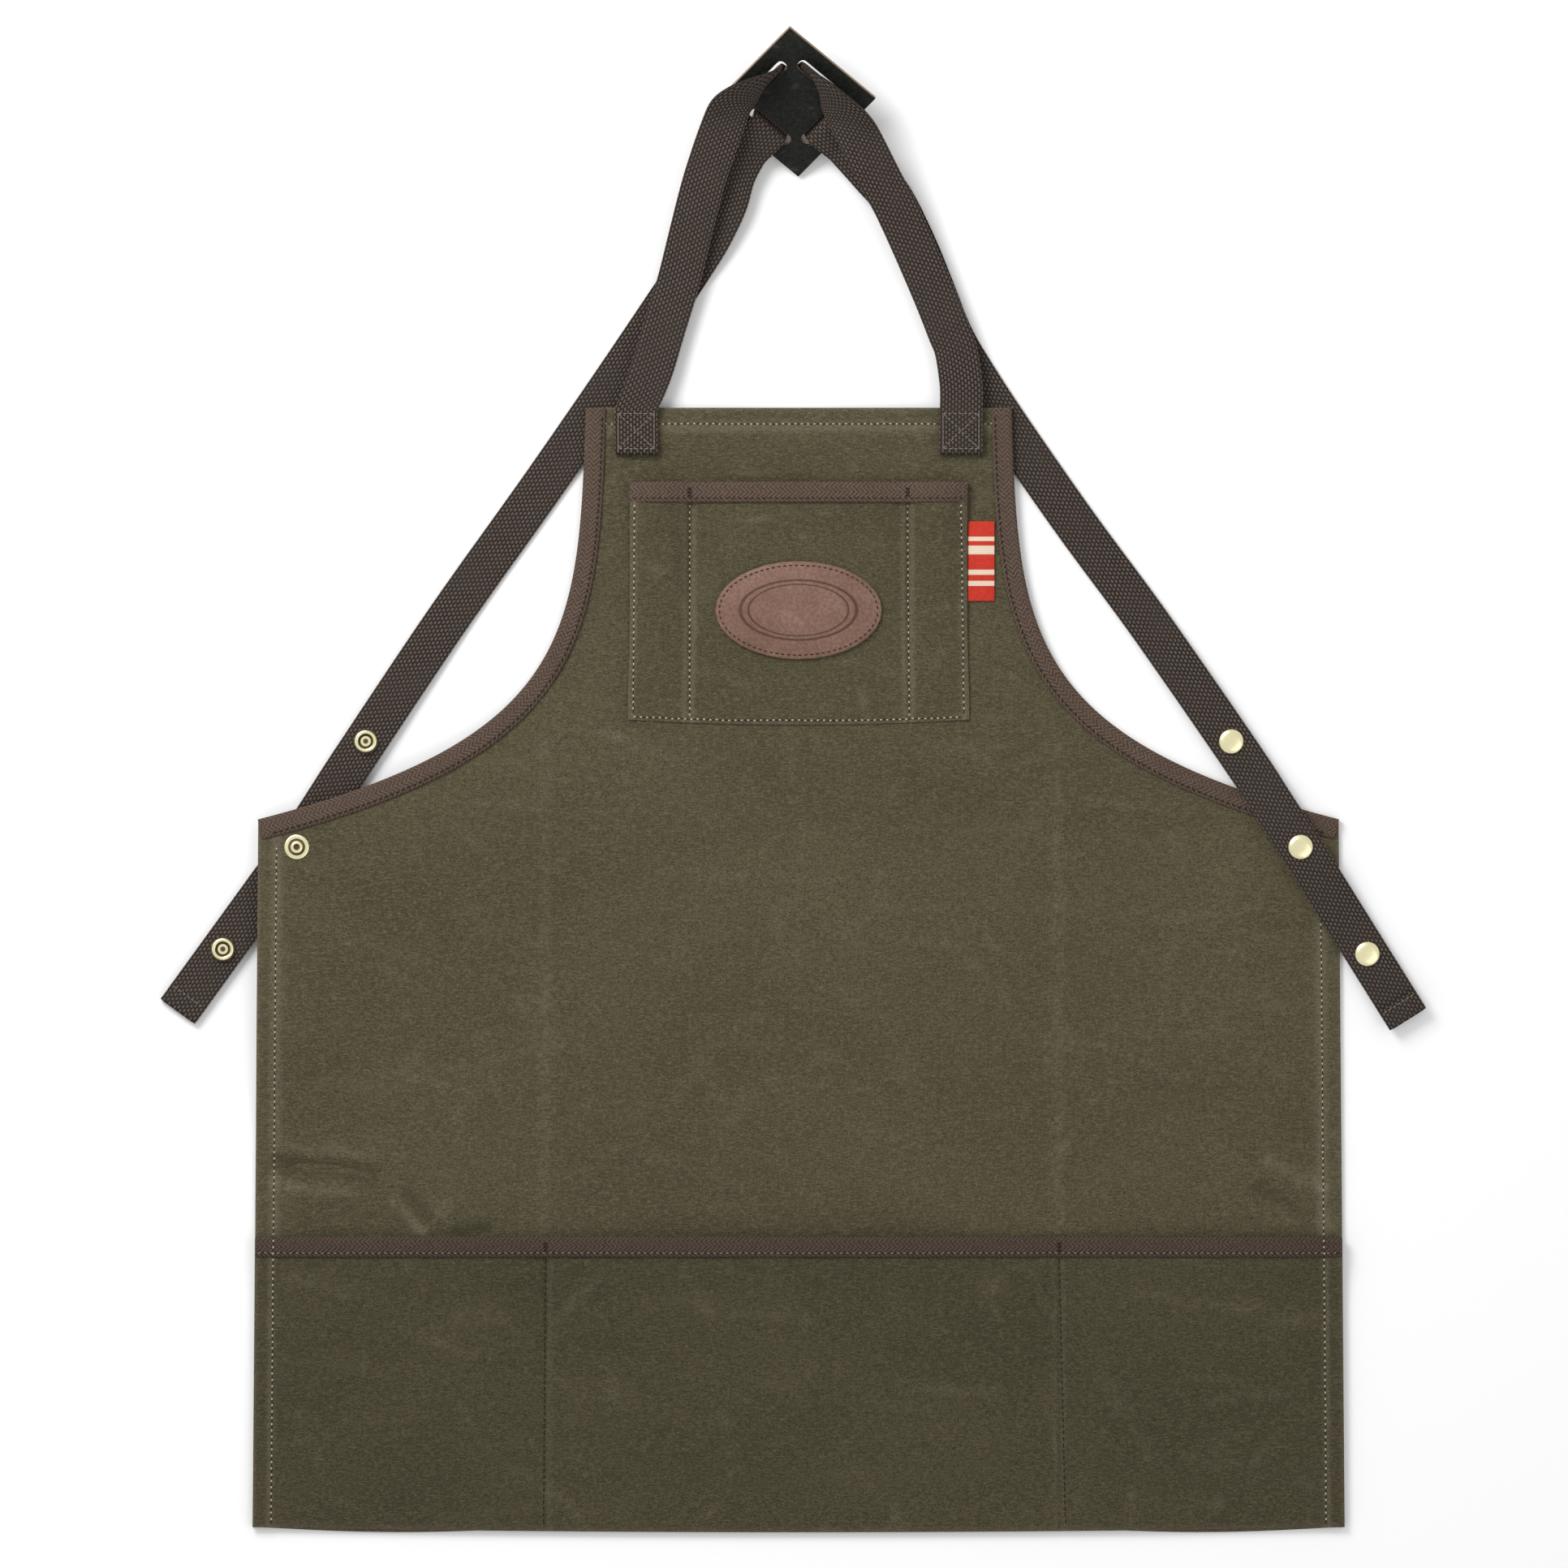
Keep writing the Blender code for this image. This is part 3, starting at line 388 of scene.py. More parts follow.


# Fine creases and puckers: start, end, half width and height as a share of the crease height. A
# negative height is a fold, which also gets painted shade in the cloth's colour
CREASES = (
    ((-0.1475, 0.045), (-0.1485, -0.238), 0.0034, 0.80),
    ((0.1520, 0.045), (0.1528, -0.238), 0.0034, 0.80),
    ((-0.304, -0.199), (-0.251, -0.207), 0.0042, -2.8),
    ((-0.300, -0.190), (-0.250, -0.197), 0.0036, 1.1),
    ((-0.306, -0.212), (-0.262, -0.219), 0.0036, 1.8),
    ((-0.236, -0.222), (-0.222, -0.241), 0.0030, 2.2),
    ((-0.229, -0.219), (-0.214, -0.236), 0.0030, -2.4),
    ((-0.2185, -0.241), (-0.205, -0.224), 0.0030, 1.9),
    ((-0.201, -0.240), (-0.182, -0.238), 0.0034, -2.2),
    ((0.275, -0.199), (0.309, -0.216), 0.0034, 2.0),
    ((0.268, -0.213), (0.300, -0.230), 0.0034, -2.2),
    ((0.292, -0.224), (0.312, -0.236), 0.0034, 1.4),
    ((-0.163, -0.106), (-0.139, -0.132), 0.0022, 0.9),
    ((0.060, -0.070), (0.118, -0.074), 0.0020, 0.6),
    ((-0.080, -0.030), (0.020, -0.034), 0.0024, 0.6),
    ((0.205, -0.060), (0.262, -0.052), 0.0022, 0.7),
    ((-0.262, -0.070), (-0.214, -0.084), 0.0022, 0.7),
    ((-0.020, -0.150), (0.052, -0.158), 0.0020, 0.5),
    ((0.176, -0.130), (0.226, -0.152), 0.0022, 0.7),
    ((-0.244, -0.148), (-0.196, -0.156), 0.0022, 0.6),
    ((-0.112, 0.052), (-0.060, 0.030), 0.0022, 0.7),
    ((0.070, 0.040), (0.128, 0.044), 0.0022, 0.6),
    ((0.030, -0.180), (0.100, -0.196), 0.0020, 0.5),
    ((-0.120, -0.190), (-0.060, -0.202), 0.0020, 0.5),
    ((-0.196, 0.012), (-0.150, 0.006), 0.0024, 0.7),
    ((0.170, 0.014), (0.226, 0.002), 0.0024, 0.7),
)


def crease_value(x, y, lines=CREASES):
    """Signed share of the crease height at a point, from the listed creases."""
    total = 0.0
    for (x0, y0), (x1, y1), reach, share in lines:
        if not (min(x0, x1) - 0.012 < x < max(x0, x1) + 0.012
                and min(y0, y1) - 0.012 < y < max(y0, y1) + 0.012):
            continue
        run = Vector((x1 - x0, y1 - y0))
        length = run.length
        run /= length
        step = Vector((x - x0, y - y0))
        along = step.dot(run)
        bend = 0.0022 * noise.noise(Vector((x * 40, y * 40, 3.0)))
        across = abs(run.cross(step) + bend)
        beyond = max(-along, along - length, 0.0)
        distance = math.hypot(across, beyond)
        total += share * math.exp(-(distance / reach) ** 2)
    return total


def rumple(x, y, seed=0.0):
    """Soft unevenness of the stiff waxed cloth, about -1 to 1."""
    warp = noise.noise(Vector((x * 9, y * 9, 5.0 + seed)))
    ridge = 1.0 - abs(noise.noise(Vector((x * 15 + warp, y * 15 - warp, 1.0 + seed)))) * 2.4
    fine = noise.noise(Vector((x * 42, y * 42, 8.0 + seed)))
    return 0.55 * ridge ** 3 + 0.30 * fine


def wear_and_fold_shade(x, y, crease, seed=0.0):
    """Wear of the cloth at a point: pale on raised creases and ridges, and painted shade as
    negative values in the folds.
    """
    rubbed = 0.5 + 0.9 * noise.noise(Vector((x * 170, y * 170, 11.0 + seed)))
    # Negative crease values give painted shade in the folds; the rest is pale wear.
    return (max(crease, 0.0) * 0.30 * rubbed + min(crease, 0.0) * 0.36
            + max(rumple(x, y, seed) - 0.40, 0.0) * 0.8 * rubbed)


# ------------------------------------------------------------------------------- cloth operators

class APRON_OT_body(Operator):
    """Add the apron's body of waxed canvas, with its doubled hems and creases"""

    bl_idname = "apron.body"
    bl_label = "Canvas body"

    def execute(self, context):
        sizes = settings()
        cell = sizes.cell
        tree = node_tree("body_panel")
        rows = ramp_list((-SKIRT_LENGTH, 0.0007), (-SKIRT_LENGTH + 0.0014, 0.0023),
                         (-SKIRT_LENGTH + 0.0106, 0.0012), (-SKIRT_LENGTH + 0.0130, cell),
                         (0.0, 0.0014), (0.030, 0.0022), (0.070, cell),
                         (BIB_HEIGHT - 0.0130, 0.0012), (BIB_HEIGHT - 0.0106, 0.0023),
                         (BIB_HEIGHT - 0.0014, 0.0007), (BIB_HEIGHT, 0.0))
        insets = (0.0, 0.0007, 0.0020, 0.0060, 0.0104, 0.0116, 0.0130, 0.0160)
        inner = int(2 * HIP_HALF / cell) - 2
        columns = len(insets) * 2 + inner
        widths = [half_width(y) for y in rows]

        def plan(i, j):
            y = rows[j]
            half = widths[j]
            if i < len(insets):
                x = -half + insets[i]
            elif i >= columns - len(insets):
                x = half - insets[columns - 1 - i]
            else:
                share = (i - len(insets) + 1) / (inner + 1)
                x = (half - insets[-1]) * (2 * share - 1)
            if y < -SKIRT_LENGTH + 0.05:
                fall = smooth_share(1 - (y + SKIRT_LENGTH) / 0.05)
                y -= fall * self.belly(x)
            return x, y

        def heights(i, j):
            x, y = plan(i, j)
            inside = max(widths[j] - 0.0025, 0.0)
            sample_x = min(max(x, -inside), inside)
            sample_y = min(max(y, -SKIRT_LENGTH + 0.0012), BIB_HEIGHT - 0.0012)
            for side in (-1, 1):
                near = Vector((sample_x, sample_y)) - stud_point(side)
                if near.length < 0.0035:
                    sample_x = stud_point(side).x - side * 0.0040
            return top_of(tree, sample_x, sample_y, CANVAS_THICKNESS)

        field = [[heights(i, j) for j in range(len(rows))] for i in range(columns)]
        relaxed(field, 10)

        def edge_gap(i, j):
            side = widths[j] - abs(plan(i, j)[0]) if rows[j] <= 0.0 else 1.0
            return min(side, BIB_HEIGHT - rows[j], SKIRT_LENGTH + rows[j])

        def relief(i, j):
            x, y = plan(i, j)
            away = min(widths[j] - abs(x), BIB_HEIGHT - y, SKIRT_LENGTH + y)
            calm = smooth_share((away - 0.008) / 0.020)
            under = 0.0 if self.covered(x, y) else 1.0
            shape = crease_value(x, y) + 0.42 * rumple(x, y)
            return shape * calm * under * sizes.crease_height

        def low(i, j):
            x, y = plan(i, j)
            gap = edge_gap(i, j)
            thick = CANVAS_THICKNESS + 0.0009 * (1.0 - smooth_share((gap - 0.0110) / 0.0014))
            if self.rim(i, j, columns, len(rows)):
                thick -= 0.0004
            return Vector((x, y, max(field[i][j] - thick + max(relief(i, j), 0.0), 0.0)))

        def high(i, j):
            x, y = plan(i, j)
            gap = edge_gap(i, j)
            ripple = 0.0002 * math.exp(-((gap - 0.0060) / 0.0040) ** 2)
            if gap < 0.0112 and rows[j] > -SKIRT_LENGTH:
                ripple += 0.00022 * noise.noise(Vector((x * 130, y * 130, 2.0)))
            if self.rim(i, j, columns, len(rows)):
                ripple -= 0.0004
            return Vector((x, y, field[i][j] + ripple + max(relief(i, j), 0.0)
                           + min(relief(i, j), 0.0) * 0.7))

        def paint(i, j):
            x, y = plan(i, j)
            gap = edge_gap(i, j)
            line = math.exp(-((gap - 0.0112) / 0.0030) ** 2) * 0.42
            line += math.exp(-(gap / 0.0016) ** 2) * 0.30
            return min(line + wear_and_fold_shade(x, y, crease_value(x, y)), 1.0)

        bm = slab(columns, len(rows), low, high, paint)
        made = link_mesh("canvas_body", bm, surface("canvas"), ("body_panel",))
        patch_area()
        return {"FINISHED"}

    @staticmethod
    def rim(i, j, columns, rows):
        return i in (0, columns - 1) or j in (0, rows - 1)

    @staticmethod
    def belly(x):
        """How far the hem bulges below its straight line, pinched at the pocket seams."""
        share = 0.0
        for start, end in zip((-HIP_HALF,) + POCKET_SEAMS, POCKET_SEAMS + (HIP_HALF,)):
            if start <= x <= end:
                share = math.sin(math.pi * (x - start) / (end - start))
        return HEM_BELLY * share

    @staticmethod
    def covered(x, y):
        """Whether the point lies below a pocket, where the cloth stays smooth."""
        return y < POCKET_MOUTH or (abs(x) < BIB_POCKET_HALF + 0.004
                                    and BIB_POCKET_BASE - 0.006 < y < BIB_POCKET_MOUTH)


def patch_area():
    """Flat area of the body's cut, in square metres."""
    step = 0.002
    count = int((SKIRT_LENGTH + BIB_HEIGHT) / step)
    return sum(2 * half_width(-SKIRT_LENGTH + (index + 0.5) * step) * step
               for index in range(count))


POCKET_CREASES = (
    ((-0.300, -0.268), (-0.262, -0.276), 0.0028, 0.8),
    ((-0.230, -0.300), (-0.188, -0.312), 0.0026, 0.7),
    ((-0.060, -0.286), (0.010, -0.292), 0.0026, 0.6),
    ((0.060, -0.330), (0.118, -0.336), 0.0026, 0.6),
    ((0.200, -0.276), (0.262, -0.286), 0.0028, 0.8),
    ((0.240, -0.340), (0.290, -0.334), 0.0026, 0.6),
    ((-0.150, -0.250), (-0.1515, -0.408), 0.0022, -0.4),
    ((-0.118, -0.268), (-0.142, -0.292), 0.0024, 0.7),
    ((0.132, -0.262), (0.150, -0.288), 0.0024, 0.7),
)
BIB_POCKET_CREASES = (
    ((-0.040, 0.176), (0.024, 0.181), 0.0024, 0.5),
    ((0.028, 0.094), (0.056, 0.086), 0.0022, 0.6),
    ((-0.056, 0.088), (-0.022, 0.080), 0.0022, 0.6),
    ((0.070, 0.120), (0.090, 0.126), 0.0022, 0.6),
    ((-0.092, 0.150), (-0.070, 0.144), 0.0022, 0.6),
)


def pocket_sheet(node, lines, rows, place, creases, sizes, seed, hem, worn):
    """A pocket's cloth over the CAD pocket, with valleys at its seams and a rolled rim."""
    tree = node_tree(node)
    rims = [lines[0], lines[-1]]
    seams = lines[1:-1]
    columns = []
    for start, end in zip(lines, lines[1:]):
        columns += ramp_list((start, 0.0009), (start + 0.0027, 0.0022),
                             (end - 0.0027, 0.0009), (end, 0.0))[:-1]
    columns.append(lines[-1])
    pinned = {index for index, x in enumerate(columns)
              if min(abs(x - seam) for seam in seams) < 0.0012} if seams else set()
    low_y, high_y = rows[0], rows[-1]

    def heights(reader, i, j):
        x = min(max(columns[i], rims[0] + 0.0012), rims[1] - 0.0012)
        y = min(max(rows[j], low_y + 0.0012), high_y - 0.0012)
        x, y = place(x, y)
        return reader(tree, x, y)

    under = [[heights(top_of, i, j) - CANVAS_THICKNESS for j in range(len(rows))]
             for i in range(len(columns))]
    relaxed(under, 8, pinned_columns=pinned)
    last_i, last_j = len(columns) - 1, len(rows) - 1

    def relief(i, j):
        x, y = columns[i], rows[j]
        side = min(x - rims[0], rims[1] - x, y - low_y)
        near = min((abs(x - seam) for seam in seams), default=1.0)
        calm = smooth_share((side - 0.008) / 0.012) * smooth_share((near - 0.001) / 0.008)
        shape = crease_value(x, y, creases) + 0.55 * rumple(x, y, seed)
        pucker = 0.0
        if near < 0.012:
            pucker = 0.22 * math.sin(y * 900 + 3 * noise.noise(Vector((x, y * 60, seed))))
            pucker *= (1.0 - near / 0.012) * smooth_share(near / 0.003)
        return (shape * calm + pucker) * sizes.crease_height

    def rim(i, j):
        return i in (0, last_i) or j in (0, last_j)

    def low(i, j):
        x, y = place(columns[i], rows[j])
        lift = 0.0003 if rim(i, j) else 0.0
        return Vector((x, y, under[i][j] + lift + max(relief(i, j), 0.0)))

    def high(i, j):
        x, y = place(columns[i], rows[j])
        side = min(columns[i] - rims[0], rims[1] - columns[i])
        near = min((abs(columns[i] - seam) for seam in seams), default=1.0)
        turn = 0.0005 * (1.0 - smooth_share((side - hem) / 0.0016))
        drop = 0.0005 * math.exp(-(near / 0.0011) ** 2)
        thick = CANVAS_THICKNESS + turn - drop - (0.0005 if rim(i, j) else 0.0)
        return Vector((x, y, under[i][j] + thick + max(relief(i, j), 0.0)
                       + min(relief(i, j), 0.0) * 0.5))

    def paint(i, j):
        x, y = columns[i], rows[j]
        side = min(x - rims[0], rims[1] - x)
        near = min((abs(x - seam) for seam in seams), default=1.0)
        value = worn * math.exp(-((near - 0.0022) / 0.0014) ** 2)
        value += 0.34 * math.exp(-((side - hem) / 0.0016) ** 2)
        value += 0.30 * math.exp(-(min(side, y - low_y) / 0.0014) ** 2)
        return min(value + wear_and_fold_shade(x, y, crease_value(x, y, creases), seed), 1.0)

    return slab(len(columns), len(rows), low, high, paint)


class APRON_OT_lower_pocket(Operator):
    """Add the three-part lower pocket"""

    bl_idname = "apron.lower_pocket"
    bl_label = "Lower pocket"

    def execute(self, context):
        sizes = settings()
        base = -SKIRT_LENGTH
        rows = ramp_list((base, 0.0007), (base + 0.0014, 0.0022), (base + 0.0090, 0.0010),
                         (base + 0.0120, 0.0030), (POCKET_MOUTH, 0.0))
        half = HIP_HALF + 0.0028

        def place(x, y):
            down = smooth_share(1 - (y - base) / 0.10)
            edge = half_width(y) / half
            return x * edge, y - 0.0030 * (1.0 - (x / half) ** 2) * down

        bm = pocket_sheet("lower_pocket", [-half, *POCKET_SEAMS, half], rows, place,
                          POCKET_CREASES, sizes, 20.0, 0.0100, 0.10)
        made = link_mesh("canvas_lower_pocket", bm, surface("pocket"),
                         ("lower_pocket",))
        return {"FINISHED"}


class APRON_OT_bib_pocket(Operator):
    """Add the bib pocket with its two pen slots"""

    bl_idname = "apron.bib_pocket"
    bl_label = "Bib pocket"

    def execute(self, context):
        sizes = settings()
        rows = ramp_list((BIB_POCKET_BASE, 0.0007), (BIB_POCKET_BASE + 0.0014, 0.0018),
                         (BIB_POCKET_MOUTH, 0.0))
        half = BIB_POCKET_HALF

        def place(x, y):
            down = smooth_share(1 - (y - BIB_POCKET_BASE) / 0.06)
            return x * (1 + 0.012 * down), y - 0.0030 * (1.0 - (x / half) ** 2) * down

        bm = pocket_sheet("bib_pocket", [-half, *PEN_SEAMS, half], rows, place,
                          BIB_POCKET_CREASES, sizes, 30.0, 0.0028, 0.34)
        made = link_mesh("canvas_bib_pocket", bm, surface("bib"), ("bib_pocket",))
        return {"FINISHED"}


# ----------------------------------------------------------------------------------------- tapes

def tape_ring(z_top, z_low, lean):
    """Cross section round an edge: (inward, height) pairs, a folded tape with rolled corners."""
    wide, thick, roll = TAPE_WIDTH, TAPE_THICKNESS, TAPE_ROLL
    inner_top, inner_low = z_top - thick, z_low + thick
    return [
        (wide, z_top - roll * 0.6), (wide - roll, z_top), (wide * 0.66, z_top + lean),
        (wide * 0.36, z_top + lean), (roll * 2.2, z_top), (roll * 0.8, z_top - roll * 0.5),
        (0.0, z_top - roll * 1.6), (0.0, z_low + roll * 1.6), (roll * 0.8, z_low + roll * 0.5),
        (roll * 2.2, z_low), (wide * 0.5, z_low), (wide - roll, z_low),
        (wide, z_low + roll * 0.6), (wide, inner_low), (wide * 0.5, inner_low),
        (thick * 1.3, inner_low), (thick * 1.3, inner_top), (wide * 0.5, inner_top),
        (wide, inner_top),
    ]


def tape_piece(name, node, line, slot_name):
    """Folded tape along a line of (edge point, inward direction), seated on the CAD tape."""
    tree = node_tree(node)
    tops, lows = [], []
    for point, inward in line:
        for values, reader in ((tops, top_of), (lows, bottom_of)):
            found = [reader(tree, *(point + inward * step), None)
                     for step in (0.003, 0.006, 0.009)]
            found = [value for value in found if value is not None]
            values.append(sum(found) / len(found) if found else None)
    for values in (tops, lows):
        known = [value for value in values if value is not None]
        if not known:
            raise RuntimeError(f"{node} is not below its line")
        for index in range(len(values)):
            if values[index] is None:
                near = [value for value in values[max(index - 6, 0):index + 7]
                        if value is not None]
                values[index] = near[0] if near else known[0]
        for _ in range(8):
            before = values[:]
            for index in range(1, len(values) - 1):
                values[index] = (before[index - 1] + 2 * before[index] + before[index + 1]) / 4
    bm = bmesh.new()
    length = 0.0
    rings, lengths = [], []
    for index, (point, inward) in enumerate(line):
        if index:
            length += (point - line[index - 1][0]).length
        lengths.append(length)
        lean = 0.00012 * math.sin(length * 700)
        rings.append([bm.verts.new((*(point + inward * deep), height))
                      for deep, height in tape_ring(tops[index], lows[index], lean)])
    measure = [0.0]
    section = tape_ring(0.0024, 0.0, 0.0)
    for before, here in zip(section, section[1:] + section[:1]):
        measure.append(measure[-1] + (Vector(here) - Vector(before)).length)
    skin_rings(bm, rings, lengths, measure)
    for ring in (rings[0], rings[-1]):
        bm.faces.new(ring)
    return link_mesh(name, bm, surface(slot_name), (node,), angle=60.0)


class APRON_OT_tapes(Operator):
    """Add the herringbone tapes on the armholes and the pocket mouths"""

    bl_idname = "apron.tapes"
    bl_label = "Tapes"

    def execute(self, context):
        steps = 150
        right = [armhole_edge(index / steps) for index in range(steps + 1)]
        right = [(point - inward * 0.0012, inward) for point, inward in right]
        left = [(Vector((-point.x, point.y)), Vector((-inward.x, inward.y)))
                for point, inward in right]
        for word, line in (("left", left), ("right", right)):
            made = tape_piece(f"tape_armhole_{word}", f"armhole_binding_{word}", line, "tape")
        down = Vector((0.0, -1.0))
        for name, node, half, mouth, slot_name, length in (
                ("tape_lower_pocket", "lower_pocket_binding", HIP_HALF + 0.0018, POCKET_MOUTH,
                 "tape_dark", 0.640),
                ("tape_bib_pocket", "bib_pocket_binding", BIB_POCKET_HALF, BIB_POCKET_MOUTH,
                 "tape", 0.200)):
            count = int(2 * half / 0.003)
            line = [(Vector((half * (2 * index / count - 1), mouth + 0.0012)), down)
                    for index in range(count + 1)]
            made = tape_piece(name, node, line, slot_name)
        return {"FINISHED"}


# ---------------------------------------------------------------------------------------- straps

def hermite(before, start, end, after, t):
    leave = (end - before) / 2
    arrive = (after - start) / 2
    return ((2 * t ** 3 - 3 * t ** 2 + 1) * start + (t ** 3 - 2 * t ** 2 + t) * leave
            + (3 * t ** 2 - 2 * t ** 3) * end + (t ** 3 - t ** 2) * arrive)


def smooth_curve(points, steps):
    count = len(points)
    curve = []
    for index in range(count - 1):
        before = points[max(index - 1, 0)]
        start, end = points[index], points[index + 1]
        after = points[min(index + 2, count - 1)]
        for step in range(steps):
            curve.append(hermite(before, start, end, after, step / steps))
    curve.append(points[-1])
    return curve


def smooth_stations(stations, steps):
    centres = smooth_curve([station[0] for station in stations], steps)
    widths = smooth_curve([station[1] for station in stations], steps)
    return [(centre, width.normalized()) for centre, width in zip(centres, widths)]


def keeper_frame():
    return (Matrix.Translation(KEEPER_CENTRE) @ Matrix.Rotation(KEEPER_TILT, 4, "X")
            @ Matrix.Rotation(KEEPER_TURN, 4, "Z"))


def flat_width(direction):
    return Vector((direction.y, -direction.x, 0.0)).normalized()


def with_widths(centres):
    paired = []
    for index, centre in enumerate(centres):
        before = centres[max(index - 1, 0)]
        after = centres[min(index + 1, len(centres) - 1)]
        paired.append((centre, flat_width(after - before)))
    return paired


def keeper_pass(side, table):
    """Stations through the two slots and below the keeper; side -1 enters at the left."""
    place = keeper_frame()
    run = Vector((-side, -1.0, 0.0)).normalized()
    width = flat_width(run)
    turned = place.to_3x3()
    return [(place @ (run * along * SLOT_OFFSET + Vector((0, 0, height * WEB_THICKNESS))),
             turned @ width) for along, height in table]


def front_run(table, start, slot):
    stations = []
    for across, up, rise, turn, dip in table:
        centre = Vector((start.x + across * (slot.x - start.x),
                         start.y + up * (slot.y - start.y),
                         start.z + rise * (slot.z - start.z)))
        angle, tip = math.radians(turn), math.radians(dip)
        width = Vector((math.cos(angle) * math.cos(tip), math.sin(angle) * math.cos(tip),
                        math.sin(tip)))
        stations.append((centre, width))
    return stations


def stud_point(side):
    return Vector((side * (HIP_HALF - STUD_INSET), -STUD_DROP))


def back_centres(side, table, start):
    """Run from the keeper over the stud to the tail's end."""
    stud = stud_point(side)
    span = stud - start.xy
    aside = Vector((span.y, -span.x)) * -side
    rows = [start.copy()]
    for along, sideways, height in table:
        place = start.xy + along * span + sideways * aside
        rows.append(Vector((place.x, place.y, STRAP_FLOOR + height * (start.z - STRAP_FLOOR))))
    run = span.normalized()
    for back in (0.85, 0.42, 0.0):
        place = stud - run * back * SNAP_PITCH
        rows.append(Vector((place.x, place.y, STRAP_FLOOR)))
    tail = Matrix.Rotation(TAIL_SWING[side], 2) @ run
    end = stud + tail * (SNAP_PITCH + TAIL_END)
    for share in (0.2, 0.4, 0.6, 0.8, 1.0):
        place = stud.lerp(end, share)
        rows.append(Vector((place.x, place.y, STRAP_FLOOR)))
    return smooth_curve(rows, 3)


def lengths_along(centres):
    lengths = [0.0]
    for before, after in zip(centres, centres[1:]):
        lengths.append(lengths[-1] + (after.xy - before.xy).length)
    return lengths


def point_at(centres, length):
    lengths = lengths_along(centres)
    for index in range(len(lengths) - 1):
        if lengths[index + 1] >= length:
            share = (length - lengths[index]) / (lengths[index + 1] - lengths[index])
            return centres[index].lerp(centres[index + 1], share)
    return centres[-1]


def stud_length(side, centres):
    lengths = lengths_along(centres)
    stud = stud_point(side)
    return lengths[min(range(len(centres)), key=lambda index: (centres[index].xy - stud).length)]


def set_tail(side, centres, heights):
    """Level stretches at the three snaps, with smooth slopes between them."""
    reach = stud_length(side, centres)
    level = SNAP_RADIUS + 0.003
    marks = [(reach - 2.6 * SNAP_PITCH, STRAP_FLOOR)]
    for step, height in zip((-1, 0, 1), heights):
        marks.append((reach + step * SNAP_PITCH - level, height))
        marks.append((reach + step * SNAP_PITCH + level, height))
    stops = sorted([mark[0] for mark in marks[1:]] + [reach + step * SNAP_PITCH
                                                      for step in (-1, 0, 1)])
    kept = [length for length in lengths_along(centres)
            if min(abs(length - stop) for stop in stops) > 0.004]
    made = []
    for length in sorted(kept + stops):
        point = point_at(centres, length)
        height = point.z
        for (left, low), (right, high) in zip(marks, marks[1:]):
            if left <= length <= right:
                height = low + (high - low) * smooth_share((length - left) / (right - left))
        if length > marks[-1][0]:
            height = marks[-1][1]
        made.append(Vector((point.x, point.y, height)))
    return made


def snap_points(side, centres):
    reach = stud_length(side, centres)
    return [point_at(centres, reach + step * SNAP_PITCH) for step in (-1, 0, 1)]


def fold_back(stations, end, length, upward):
    """Double a strap's end over or under its last stations."""
    centre, width = stations[end]
    inner = stations[end + (1 if end == 0 else -1)][0]
    run = centre - inner
    run.z = 0.0
    run.normalize()
    rise = 1.0 if upward else -1.0
    folded = []
    for degrees in (25, 50, 75, 90, 105, 130, 155):
        angle = math.radians(degrees)
        folded.append(centre + run * math.sin(angle) * FOLD_RADIUS
                      + Vector((0, 0, rise * FOLD_RADIUS * (1 - math.cos(angle)))))
    level = Vector((0, 0, rise * 2 * FOLD_RADIUS))
    for share in (0.0, 0.33, 0.66, 1.0):
        folded.append(centre + level - run * share * length)
    folded = [(point, width) for point in folded]
    if end == 0:
        return list(reversed(folded)) + stations
    return stations + folded


def routes():
    """Tail centres by side, seated as the CAD straps are."""
    body = node_tree("body_panel")
    found = {}
    for side, back, below in ((-1, BACK_RUN_RIGHT, PASS_UPPER), (1, BACK_RUN_LEFT, PASS_LOWER)):
        start = keeper_pass(side, below)[-1][0]
        found[-side] = back_centres(-side, back, start)
    found[-1] = set_tail(-1, found[-1], (TAIL_LEFT_Z,) * 3)
    stud = stud_point(1)
    cloth = top_of(body, stud.x - 0.004, stud.y, 0.0025)
    stack = cloth + STRAP_GAP * 3 + STUD_FLANGE + SOCKET_HEIGHT + WEB_THICKNESS / 2
    found[1] = set_tail(1, found[1], (TAIL_RIGHT_Z, stack, TAIL_RIGHT_Z))
    return found


def strap_stations(side, table, pass_table, centres):
    body = node_tree("body_panel")
    x = side * ANCHOR_SPREAD
    upper = (top_of(body, x, BIB_HEIGHT - ANCHOR_LENGTH / 2, 0.006) + STRAP_GAP * 2
             + WEB_THICKNESS * 1.5)
    sewn_y = BIB_HEIGHT - ANCHOR_LENGTH + FOLD_RADIUS + WEB_THICKNESS / 2
    level = Vector((1.0, 0.0, 0.0))
    sewn = [(Vector((x, y, upper)), level)
            for y in (sewn_y, sewn_y + 0.010, BIB_HEIGHT - 0.002)]
    below = keeper_pass(side, pass_table)
    rise = front_run(table, Vector((x, BIB_HEIGHT, upper)), below[0][0])
    upward = smooth_stations([sewn[-1]] + rise + [below[0]], 3)
    tail = with_widths(centres)
    leaving = below[-1][1]
    for index in range(LEVELLING):
        centre, width = tail[index]
        tail[index] = (centre, leaving.lerp(width, smooth_share(index / LEVELLING)))
    stations = sewn[:-1] + upward[:-1] + below[:-1] + tail
    dense = smooth_stations(stations, 3)
    dense = fold_back(dense, 0, ANCHOR_LENGTH - 0.006, upward=False)
    return fold_back(dense, len(dense) - 1, END_FOLD, upward=side < 0)


